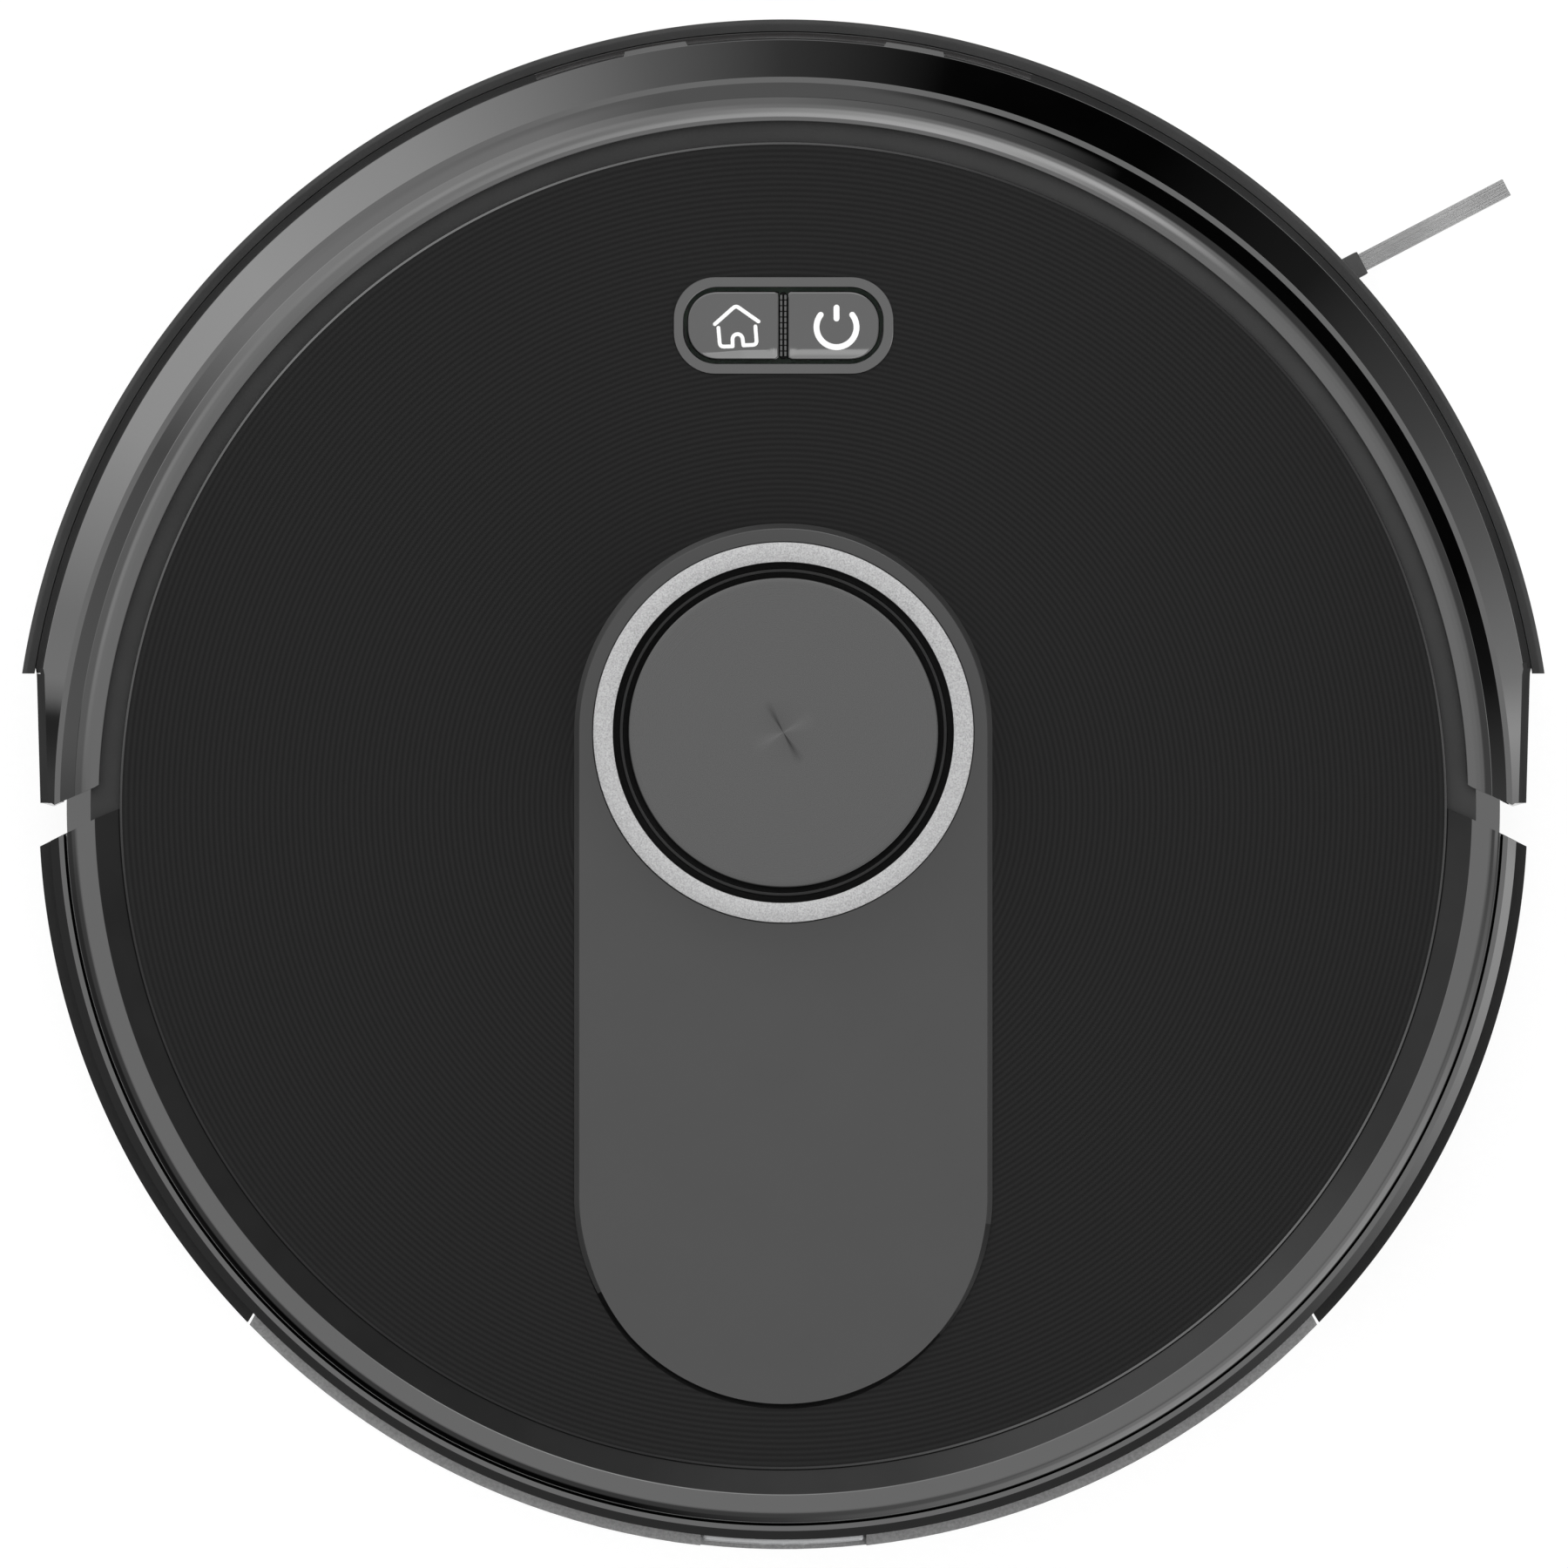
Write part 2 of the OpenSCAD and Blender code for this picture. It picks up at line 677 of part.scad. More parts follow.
module bumper_springs() color(steel) at_body()
    for (a = [75, 105]) rotate(a) translate([chassis_r + 0.3, 0, 40]) rotate([0, 90, 0])
        coil(3, 0.5, 8, 5);

module bumper_switches() color(dark_steel) at_body()
    for (a = [40, 140]) rotate(a) {
        box(chassis_r + 0.1, chassis_r + 4.2, -6.5, 6.5, 36, 42);
        box(chassis_r + 4.2, chassis_r + 4.9, 1, 3, 38, 40);
    }

// ---------- electronics, battery, fasteners ----------

// Cross-shaped recess of a screw head
module cross_slot(z0, h) for (a = [0, 90]) rotate(a)
    translate([-2, -0.4, z0]) cube([4, 0.8, h]);

module case_screws() color(steel) at_body()
    for (p = screw_places) both_sides() translate([p[0], p[1], 0]) {
        difference() {
            translate([0, 0, underside_z + 0.2]) cylinder(r = screw_head_r, h = 1.5);
            cross_slot(underside_z - 0.5, 1.4);
        }
        translate([0, 0, underside_z + 1.7]) cylinder(r = screw_r, h = 16);
    }

module main_board() color(board_green) at_body() {
    top_z = board_z + board_t;
    difference() {
        translate([0, 102, 0]) round_block(150, 70, 4, board_z, top_z);
        for (p = board_legs) both_sides()
            translate([p[0], p[1], board_z - eps]) cylinder(r = 1.6, h = board_t + 2 * eps);
    }
    // Chips, and a row of cable sockets
    for (p = [[0, 96], [-34, 112], [36, 118]]) translate([p[0], p[1], 0])
        round_block(16, 16, 1, top_z, top_z + 1.6);
    for (y = [80, 92, 104]) box(-71, -61, y, y + 8, top_z, top_z + 5.2);
}

module battery_pack() color("#20262e") at_body()
    translate([0, (bay_y0 + bay_y1) / 2, 0]) round_block(76, 72, 6, floor_top_z + 0.3, 51);

module battery_door() color(black) at_body() translate([0, (bay_y0 + bay_y1) / 2, 0])
    difference() {
        round_block(bay_w - 0.6, bay_y1 - bay_y0 - 0.6, 1, underside_z, floor_top_z);
        // Finger grip
        translate([0, -30, underside_z - eps]) round_block(20, 8, 3, 0, eps + 1.2);
    }

module contact_blocks(grow, below) both_sides() translate([contact_place[0], contact_place[1], 0])
    round_block(22 + 2 * grow, 8 + 2 * grow, 3, underside_z - below, underside_z + 1.2);

module charging_contacts() color(steel) at_body() contact_blocks(0, 0.4);

module cliff_blocks(grow, below) for (a = cliff_angles)
    rotate(a) translate([cliff_r, 0, 0]) rotate(90)
        round_block(20 + 2 * grow, 9 + 2 * grow, 2, underside_z - below, underside_z + 1.4);

module cliff_windows() color("#1c0d10") at_body() cliff_blocks(0, 0);

// ---------- suction ----------

module fan_housing() color(black) at_body() difference() {
    union() {
        translate([fan_x, fan_y, fan_z0]) cylinder(r = fan_r, h = fan_z1 - fan_z0);
        box(fan_x - 16, fan_x + 16, tank_front_y + 1, fan_y, fan_z0, 60);
    }
    translate([fan_x, fan_y, fan_z0 + 6]) cylinder(r = fan_r - 1.6, h = fan_z1 - fan_z0 - 7.6);
    translate([fan_x, fan_y, fan_z0 + 3]) cylinder(r = 14, h = 4);
    // Intake snout that faces the tank's filter, below the impeller's floor
    box(fan_x - 14, fan_x + 14, tank_front_y, fan_y, fan_z0 + 1.6, fan_z0 + 4.6);
    box(fan_x - 14, fan_x + 14, tank_front_y, tank_front_y + 3, fan_z0 + 1.6, 58);
    translate([fan_x, fan_y, fan_z1 - 5]) cylinder(r = 13.1, h = 10);
}

module impeller() color(dark_steel) at_body() translate([fan_x, fan_y, 0]) {
    difference() {
        union() {
            translate([0, 0, 63]) cylinder(r = 31, h = 1.2);
            translate([0, 0, 53]) cylinder(r = 6, h = 10);
            for (i = [0:8]) rotate(i * 40) translate([5, -0.6, 53.5])
                rotate([0, 0, 18]) cube([24, 1.2, 9.5]);
        }
        translate([0, 0, 50]) cylinder(r = 1.5 + run_fit, h = 20);
    }
}

module fan_motor() color(steel) at_body() translate([fan_x, fan_y, 0]) {
    translate([0, 0, 65]) cylinder(r = 13, h = 6.6);
    translate([0, 0, 54]) cylinder(r = 1.5, h = 11);
}

// ---------- main brush ----------

module brush_core() color("#c2522a") at_body() {
    rod_x(core_r, -brush_half, brush_half, brush_y, brush_z);
    rod_x(core_r + 2, -brush_half, -brush_half + 3, brush_y, brush_z);
    rod_x(core_r + 2, brush_half - 3, brush_half, brush_y, brush_z);
    // Drive shaft into the gearbox, and stub axle into the bearing
    rod_x(core_axle_r, gear_x - gear_w / 2, -brush_half, brush_y, brush_z);
    rod_x(core_axle_r, brush_half, brush_half + 6, brush_y, brush_z);
}

module brush_bristles() color("#3a3d40") at_body()
    translate([-brush_half + 4, brush_y, brush_z]) rotate([0, 90, 0])
        for (i = [0:5]) rotate(i * 60) translate([core_r + 0.02, -1, 0])
            cube([brush_r - core_r - 0.02, 2, 2 * brush_half - 8]);

module brush_bearing() color("#c2522a") at_body() difference() {
    rod_x(6.8, tunnel_half - 1.5, tunnel_half + 4.5, brush_y, brush_z);
    rod_x(core_axle_r + run_fit, tunnel_half - 3, tunnel_half + 3.5, brush_y, brush_z);
}

module brush_guard() color(rubber_black) at_body() difference() {
    translate([0, brush_y, 0]) round_block(184, 53, 4, underside_z - 2, underside_z - 0.05);
    translate([0, brush_y, 0]) round_block(172, 43, 3, 0, 20);
    // Comb of lead-in notches along the front edge
    for (i = [-7:7]) translate([i * 11, brush_y + 22, 0])
        round_block(4, 4, 1.9, underside_z - 3, underside_z + 1);
}

// The box round the two gears, drawn in by t on every side
module gearbox_block(t) box(gear_x - 9 + t, -tunnel_half - 2.1 - t, brush_y - 12 + t,
                            brush_y + 10.2 - t, underside_z + 0.4 + t * 0.6, 40 - t);

module brush_gearbox() color(black) at_body() difference() {
    gearbox_block(0);
    gearbox_block(1.2);
    rod_x(core_axle_r + run_fit, -tunnel_half - 5, -tunnel_half - 2, brush_y, brush_z);
    rod_x(1.5, gear_x - 10, gear_x - 7, pinion_y, pinion_z);
}

module brush_gear() color("#e4e1d8") at_body()
    translate([gear_x - gear_w / 2, brush_y, brush_z]) rotate([90, 0, 90])
        spur(brush_teeth, gear_w, core_axle_r + 0.02, pinion_angle);

module brush_pinion() color(brass_gold) at_body()
    translate([gear_x - gear_w / 2, pinion_y, pinion_z]) rotate([90, 0, 90])
        spur(pinion_teeth, gear_w, 1 + run_fit,
             pinion_angle + 180 + 180 / pinion_teeth);

module brush_motor() color(steel) at_body() {
    rod_x(12, gear_x - 9 - 24, gear_x - 9.1, pinion_y, pinion_z);
    rod_x(1, gear_x - 9.1, gear_x + gear_w / 2, pinion_y, pinion_z);
}

// ---------- side brush ----------

module side_brush_hub() color(black) at_body() translate([side_x, side_y, 0]) difference() {
    union() {
        translate([0, 0, 5]) cylinder(r = 13.5, h = 5.6);
        for (i = [0:2]) rotate(side_angle + 120 * i)
            translate([8, -2.8, 5.6]) cube([side_root_r - 8, 5.6, 2.6]);
    }
    translate([0, 0, 7]) cylinder(r = side_shaft_r + run_fit, h = 10);
    translate([0, 0, 3]) cylinder(r = 3.4, h = 3.5);
    translate([0, 0, 5]) cylinder(r = 1.6, h = 5);
}

module side_brush_bristles() color(bristle_grey) at_body() translate([side_x, side_y, 0])
    for (i = [0:2]) rotate(side_angle + 120 * i) translate([side_root_r, -2, 0])
        rotate([90, 0, 0]) mirror([0, 0, 1]) linear_extrude(4)
            polygon([[0, 5.9], [side_arm_r - side_root_r, 1], [side_arm_r - side_root_r, 2.4],
                     [0, 7.9]]);

module side_brush_screw() color(steel) at_body() translate([side_x, side_y, 0]) difference() {
    union() {
        translate([0, 0, 5.1]) cylinder(r = 3.1, h = 1.4);
        translate([0, 0, 6.5]) cylinder(r = 1.6, h = 0.45);
    }
    cross_slot(4.8, 1.2);
}

module side_brush_motor() color(dark_steel) at_body() translate([side_x, side_y, 0]) {
    translate([0, 0, side_motor_z]) cylinder(r = side_motor_r, h = 14);
    translate([0, 0, side_motor_z + 14]) cylinder(r = 10, h = 18);
    translate([0, 0, 7.2]) cylinder(r = side_shaft_r, h = side_motor_z - 7.2);
}

// ---------- drive wheels ----------

module wheel_arm() difference() {
    union() {
        translate([arm_x0, 0, 0]) rotate([90, 0, 90]) linear_extrude(arm_x1 - arm_x0)
            belt_outline([arm_y, arm_z], arm_eye_r, [wheel_y, wheel_z], arm_hub_r);
        // Axle that the hub turns on
        rod_x(axle_r, arm_x1 - eps, wheel_x + wheel_w / 2 - 1, wheel_y, wheel_z);
        // Seat under the spring
        box(arm_x0 + 0.5, arm_x1 - 0.5, spring_y - 5, spring_y + 5, arm_z - 4, arm_z + 6);
    }
    rod_x(arm_pin_r + run_fit, arm_x0 - eps, arm_x1 + eps, arm_y, arm_z);
}

module wheel_hub() difference() {
    x0 = wheel_x - wheel_w / 2 + 0.5;
    x1 = wheel_x + wheel_w / 2;
    union() {
        rod_x(hub_boss_r, x0, x1 - 1, wheel_y, wheel_z);
        difference() {
            rod_x(hub_r, x0, x1, wheel_y, wheel_z);
            rod_x(hub_r - 3, x0 + 7, x1 + eps, wheel_y, wheel_z);
            rod_x(hub_r - 3, x0 - eps, x0 + 4, wheel_y, wheel_z);
        }
        // Spokes in the outer recess
        for (i = [0:5]) translate([x0 + 4, wheel_y, wheel_z]) rotate([i * 60, 0, 0])
            box(0, 13, -1.2, 1.2, hub_boss_r - 2, hub_r - 2);
    }
    rod_x(axle_r + run_fit, x0 - eps, x1 - 0.6, wheel_y, wheel_z);
}

module wheel_tyre() difference() {
    x0 = wheel_x - wheel_w / 2 + 0.5;
    x1 = wheel_x + wheel_w / 2;
    translate([x0, wheel_y, wheel_z]) rotate([0, 90, 0]) rotate_extrude() polygon([
        [hub_r, 0], [wheel_r - 1, 0], [wheel_r, 1], [wheel_r, x1 - x0 - 1],
        [wheel_r - 1, x1 - x0], [hub_r, x1 - x0]]);
    // Cross grooves of the tread, two rows half a pitch apart
    for (i = [0:29]) translate([0, wheel_y, wheel_z]) rotate([i * 12, 0, 0]) {
        box(x0 - eps, x0 + 8.5, -1, 1, wheel_r - 2.2, wheel_r + 2);
        rotate([6, 0, 0]) box(x1 - 8.5, x1 + eps, -1, 1, wheel_r - 2.2, wheel_r + 2);
    }
}

module wheel_spring() translate([(arm_x0 + arm_x1) / 2, spring_y, arm_z + 6.2])
    coil(3.6, 0.6, well_top_z - well_wall - arm_z - 6.4, 6);

module left_wheel_arm() color(black) at_body() mirror([1, 0, 0]) wheel_arm();

module right_wheel_arm() color(black) at_body() wheel_arm();

module left_wheel_hub() color(deck_grey) at_body() mirror([1, 0, 0]) wheel_hub();

module right_wheel_hub() color(deck_grey) at_body() wheel_hub();

module left_wheel_tyre() color(rubber_black) at_body() mirror([1, 0, 0]) wheel_tyre();

module right_wheel_tyre() color(rubber_black) at_body() wheel_tyre();

module wheel_arm_pins() color(steel) at_body() both_sides()
    rod_x(arm_pin_r, well_x0, arm_x1 + 3.5, arm_y, arm_z);

module left_wheel_spring() color(steel) at_body() mirror([1, 0, 0]) wheel_spring();

module right_wheel_spring() color(steel) at_body() wheel_spring();

// ---------- caster ----------

module caster_fork() color(dark_steel) at_body() translate([0, caster_y, 0]) difference() {
    union() {
        translate([0, 0, fork_top_z - 1]) cylinder(r = caster_post_r, h = 15);
        translate([0, -caster_trail / 2, fork_top_z - 2.4]) cylinder(r = 14.5, h = 2.4);
        fork_cheeks();
    }
    // Room for the wheel
    rod_x(caster_r + 0.8, -7.6, 7.6, -caster_trail, caster_r);
    rod_x(caster_pin_r, -20, 20, -caster_trail, caster_r);
}

module fork_cheeks() both_sides() {
    box(cheek_x0, cheek_x1, -caster_trail - 5, -caster_trail + 5, caster_r, fork_top_z);
    rod_x(5, cheek_x0, cheek_x1, -caster_trail, caster_r);
}

module caster_wheel() color(rubber_black) at_body() {
    w = 14;
    bore = caster_pin_r + run_fit;
    translate([-w / 2, caster_y - caster_trail, caster_r]) rotate([0, 90, 0])
        rotate_extrude() polygon([
            [bore, 0], [caster_r - 1.5, 0], [caster_r, 1.5], [caster_r, w - 1.5],
            [caster_r - 1.5, w], [bore, w]]);
}

module caster_pin() color(steel) at_body()
    rod_x(caster_pin_r, -cheek_x1 + 0.2, cheek_x1 - 0.2, caster_y - caster_trail, caster_r);

// ---------- dust tank ----------

module tank_block(inset, z0, z1, r) intersection() {
    translate([0, 0, z0]) linear_extrude(z1 - z0) tank_plan(-inset);
    translate([0, 0, z0]) cylinder(r = r, h = z1 - z0);
}

module tank_body() color(tank_grey) at_body() difference() {
    intersection() {
        tank_block(0, underside_z + 0.6, ledge_z, body_r);
        rotate_extrude() polygon([
            [0, underside_z + 0.6], [body_r - 5.5, underside_z + 0.6],
            [body_r, underside_z + 14], [body_r, ledge_z], [0, ledge_z]]);
    }
    tank_block(3.5, underside_z + 2.6, ledge_z + eps, 156);
    tank_block(tank_wall, ledge_z - tank_lid_t, ledge_z + eps, 158);
    // Dust inlet in the front wall, and the slot for the filter
    box(-38, 20, tank_front_y - 5, tank_front_y + 2, 24, 40);
    box(fan_x - 16, fan_x + 16, tank_front_y - 5, tank_front_y + 2, 43, 56);
    // Recess of the release button
    intersection() {
        ring(160, body_r + 2, 42, ledge_z + eps);
        box(-tank_button_w / 2 - 0.4, tank_button_w / 2 + 0.4, -200, 0, 0, huge);
    }
}

module tank_lid() color(black) at_body()
    tank_block(tank_wall + 0.2, ledge_z - tank_lid_t, ledge_z, 157.8);

module tank_button() color(silver) at_body() intersection() {
    ring(162.4, body_r - 1, 42.5, ledge_z - 0.3);
    box(-tank_button_w / 2, tank_button_w / 2, -200, 0, 0, huge);
}

module tank_filter() color("#d9dcda") at_body() difference() {
    box(fan_x - 15.9, fan_x + 15.9, tank_front_y - 8, tank_front_y - 0.1, 43.1, 55.9);
    // Pleats
    for (i = [-6:6]) box(fan_x + i * 2.2 - 0.5, fan_x + i * 2.2 + 0.5, tank_front_y - 6.5,
                         tank_front_y + eps, 45, 54);
}

chassis();
rear_shell();
top_ring();
top_cover();
deck_panel();
turret_housing();
turret_ring();
turret_cap();
lidar_base();
lidar_rotor();
lidar_motor();
lidar_pulley();
lidar_belt();
button_bezel();
home_button();
power_button();
button_divider();
button_board();
bumper();
bumper_strip();
sensor_window();
bumper_springs();
bumper_switches();
case_screws();
main_board();
battery_pack();
battery_door();
charging_contacts();
cliff_windows();
fan_housing();
impeller();
fan_motor();
brush_core();
brush_bristles();
brush_bearing();
brush_guard();
brush_gearbox();
brush_gear();
brush_pinion();
brush_motor();
side_brush_hub();
side_brush_bristles();
side_brush_screw();
side_brush_motor();
left_wheel_arm();
right_wheel_arm();
left_wheel_hub();
right_wheel_hub();
left_wheel_tyre();
right_wheel_tyre();
wheel_arm_pins();
left_wheel_spring();
right_wheel_spring();
caster_fork();
caster_wheel();
caster_pin();
tank_body();
tank_lid();
tank_button();
tank_filter();
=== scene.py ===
"""Looks of the robot vacuum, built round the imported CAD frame.

Shapes are drawn in millimetres about the upright axis of the round body, with the front at +Y. They
become mesh coordinates in metres when a mesh is made."""

import json
from math import acos, asin, atan2, cos, degrees, hypot, pi, radians, sin, sqrt, tan

import bmesh
import bpy
import numpy as np
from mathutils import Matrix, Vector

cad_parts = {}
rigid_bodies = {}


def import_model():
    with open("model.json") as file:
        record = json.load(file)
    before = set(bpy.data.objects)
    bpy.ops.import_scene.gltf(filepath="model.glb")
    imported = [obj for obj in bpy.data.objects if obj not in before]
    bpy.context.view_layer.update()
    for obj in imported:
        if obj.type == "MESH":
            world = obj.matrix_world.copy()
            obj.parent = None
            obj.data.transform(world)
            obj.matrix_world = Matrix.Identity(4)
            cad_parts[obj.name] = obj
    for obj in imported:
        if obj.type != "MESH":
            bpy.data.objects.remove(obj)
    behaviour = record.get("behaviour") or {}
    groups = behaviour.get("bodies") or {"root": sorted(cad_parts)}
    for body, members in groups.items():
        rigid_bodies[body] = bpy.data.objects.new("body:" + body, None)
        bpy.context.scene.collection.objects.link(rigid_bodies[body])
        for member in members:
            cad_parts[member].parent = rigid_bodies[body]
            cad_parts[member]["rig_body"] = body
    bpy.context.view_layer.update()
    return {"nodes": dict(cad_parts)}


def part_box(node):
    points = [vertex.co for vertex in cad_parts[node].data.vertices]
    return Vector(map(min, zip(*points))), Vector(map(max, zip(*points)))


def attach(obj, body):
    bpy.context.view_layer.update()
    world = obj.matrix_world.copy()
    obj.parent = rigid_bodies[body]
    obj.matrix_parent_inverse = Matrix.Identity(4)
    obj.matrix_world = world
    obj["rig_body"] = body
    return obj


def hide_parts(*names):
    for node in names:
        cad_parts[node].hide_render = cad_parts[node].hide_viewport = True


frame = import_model()
scene = bpy.context.scene
rng = np.random.default_rng(7)

MM = 0.001
cover_lo, cover_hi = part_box("top_cover")
AXIS_Y = (cover_lo.y + cover_hi.y) / 2 / MM  # the body's axis, from the frame's origin
COVER_Z = cover_hi.z / MM
RIM_Z = 78.0  # top of the bumper's and the rear crown's rims
SHELF_Z = 74.6  # floor of the trough round the cover
GROOVE = 1.25  # pitch of the fine rings in the cover
TURRET_Y = 16.2
BUTTON_Y = 106.3
SHIFT = 3.6  # the bumper's circles sit this far forward

# ---- materials


def fill(nt, n, inputs):
    """Gives a node's inputs, by name or number, a constant or another node's output."""
    for key, value in inputs.items():
        if isinstance(value, bpy.types.NodeSocket):
            nt.links.new(value, n.inputs[key])
        else:
            n.inputs[key].default_value = value


def node(nt, kind, inputs=(), out=None, **settings):
    """Adds a shader node. Returns the output named out, or its first one in use."""
    n = nt.nodes.new("ShaderNode" + kind)
    for key, value in settings.items():
        setattr(n, key, value)
    fill(nt, n, dict(inputs))
    return n.outputs[out] if out else next((s for s in n.outputs if s.enabled), None)


def new_material(name):
    m = bpy.data.materials.new(name)
    m.use_nodes = True
    return m, m.node_tree, m.node_tree.nodes["Principled BSDF"]


def noise(nt, scale, detail, rough=0.55):
    """Noise in the piece's own coordinates, scale in features per metre."""
    return node(nt, "TexNoise", {"Vector": node(nt, "TexCoord", out="Object"), "Scale": scale,
                                 "Detail": detail, "Roughness": rough})


def ramp(nt, fac, lo, hi, a, b):
    """Maps fac from lo..hi to a..b, both numbers or both colours."""
    span = {"Value": fac, "From Min": lo, "From Max": hi}
    if not isinstance(a, tuple):
        return node(nt, "MapRange", {**span, "To Min": a, "To Max": b})
    return node(nt, "Mix", {"Factor": node(nt, "MapRange", span), "A": (*a, 1), "B": (*b, 1)},
                data_type="RGBA")


def grey_ramp(nt, fac, stops):
    """Grey as a function of fac, from (position, value) pairs."""
    colour = node(nt, "ValToRGB", {"Fac": fac})
    el = colour.node.color_ramp.elements
    el.remove(el[0])
    for i, (t, v) in enumerate(stops):
        e = el.new(t) if i else el[0]
        e.position, e.color = t, (v, v, v, 1)
    return colour


def shades(colour, dark, light):
    """The colour's dark and light shades, from their shares of it."""
    return [tuple(min(1.0, c * k) for c in colour) for k in (dark, light)]


def dress(nt, bsdf, colour, fine, rough, spread, height, more):
    """Sets a shader's colour, its gloss and relief from a fine texture, and more inputs. height is
    the relief in millimetres."""
    gloss = ramp(nt, fine, 0.3, 0.7, rough * (1 - spread), min(1.0, rough * (1 + spread)))
    fill(nt, bsdf, {"Base Color": colour, "Roughness": gloss, **more})
    if height:
        fill(nt, bsdf, {"Normal": node(nt, "Bump", {"Height": fine, "Distance": height * MM})})


LEVEL = "Specular IOR Level"


def plastic(name, grey, rough, level, grain, pitch, depth, tint=(1, 1, 1)):
    """Moulded plastic or rubber: slightly uneven colour, uneven gloss and a moulded texture."""
    m, nt, bsdf = new_material(name)
    both = shades([grey * t for t in tint], 1 - grain, 1 + grain)
    tone = ramp(nt, noise(nt, 60, 4), 0.3, 0.7, *both)
    dress(nt, bsdf, tone, noise(nt, 1 / (pitch * MM), 2), rough, 0.12, depth, {LEVEL: level})
    return m


def metal(name, colour, rough, pitch, depth, grain=0.12):
    m, nt, bsdf = new_material(name)
    fine = noise(nt, 1 / (pitch * MM), 3, 0.6)
    tone = ramp(nt, fine, 0.3, 0.7, *shades(colour, 1 - grain, 1 + grain))
    dress(nt, bsdf, tone, fine, rough, 0.15, depth, {"Metallic": 1.0})
    return m


def speckled(name, grey, rough, level, grain, pitch):
    """Plastic with a fine metallic fleck in it, and a faint broad unevenness."""
    m, nt, bsdf = new_material(name)
    fine = noise(nt, 1 / (pitch * MM), 4, 0.7)
    both = node(nt, "Mix", {"Factor": 0.15, "A": fine, "B": noise(nt, 45, 2)}, data_type="FLOAT")
    tone = ramp(nt, both, 0.36, 0.64, *shades([grey] * 3, 1 - grain, 1 + grain))
    dress(nt, bsdf, tone, fine, rough, 0.15, 0.008, {LEVEL: level})
    return m


def from_axis(nt, y):
    """Distance in millimetres from an upright axis on the middle line, and the angle round it as a
    share of a turn."""
    flat = node(nt, "VectorMath", {0: node(nt, "TexCoord", out="Object"), 1: (1 / MM, 1 / MM, 0),
                                   2: (0, -y - AXIS_Y, 0)}, operation="MULTIPLY_ADD")
    return (node(nt, "VectorMath", {0: flat}, operation="LENGTH"),
            node(nt, "TexGradient", {"Vector": flat}, "Fac", gradient_type="RADIAL"))


def turned(name, grey, rough, level, pitch):
    """Black plastic with the fine rings of a turned face, pitch millimetres apart, with a painted
    shade band and a painted highlight band across each ring.
    """
    m, nt, bsdf = new_material(name)
    # Painted shade and highlight: a darker and a lighter band in the colour across each groove
    groove_shading = node(nt, "Math", {0: from_axis(nt, 0)[0], 1: pitch / 2}, operation="PINGPONG")
    tone = ramp(nt, groove_shading, 0.1 * pitch, 0.4 * pitch, *shades([grey] * 3, 0.45, 1.55))
    dress(nt, bsdf, tone, noise(nt, 1 / (0.3 * MM), 2), rough, 0.1, 0.004, {LEVEL: level})
    return m


def spun(name, grey, rough):
    """Dark metal spun about the turret's axis: rings too fine to see singly, and near the middle a
    painted highlight and painted shade: bright and dark streaks where the rings' reflection closes
    up."""
    m, nt, bsdf = new_material(name)
    r, turn = from_axis(nt, TURRET_Y)
    rings = node(nt, "TexNoise", {"W": r, "Scale": 4.0, "Detail": 3.0}, noise_dimensions="1D")
    # Painted highlight and painted shade: bright and dark streaks round the middle in the colour,
    # fading out by 8 mm
    painted_rays = grey_ramp(nt, turn, [
        (0.0, 0.5), (0.08, 0.66), (0.13, 0.5), (0.3, 0.44), (0.335, 0.02), (0.37, 0.46), (0.5, 0.5),
        (0.58, 0.64), (0.63, 0.48), (0.8, 0.42), (0.83, 0.05), (0.86, 0.44), (1.0, 0.5)])
    near = ramp(nt, r, 0.8, 8.0, 1.0, 0.0)
    blend = node(nt, "Mix", {"Factor": near, "A": 0.5, "B": painted_rays}, data_type="FLOAT")
    both = node(nt, "Math", {0: rings, 1: 0.06, 2: blend}, operation="MULTIPLY_ADD")
    tone = ramp(nt, both, 0.03, 1.03, *shades([grey] * 3, 0.12, 1.98))
    dress(nt, bsdf, tone, rings, rough, 0.1, 0.0006, {"Metallic": 1.0})
    return m


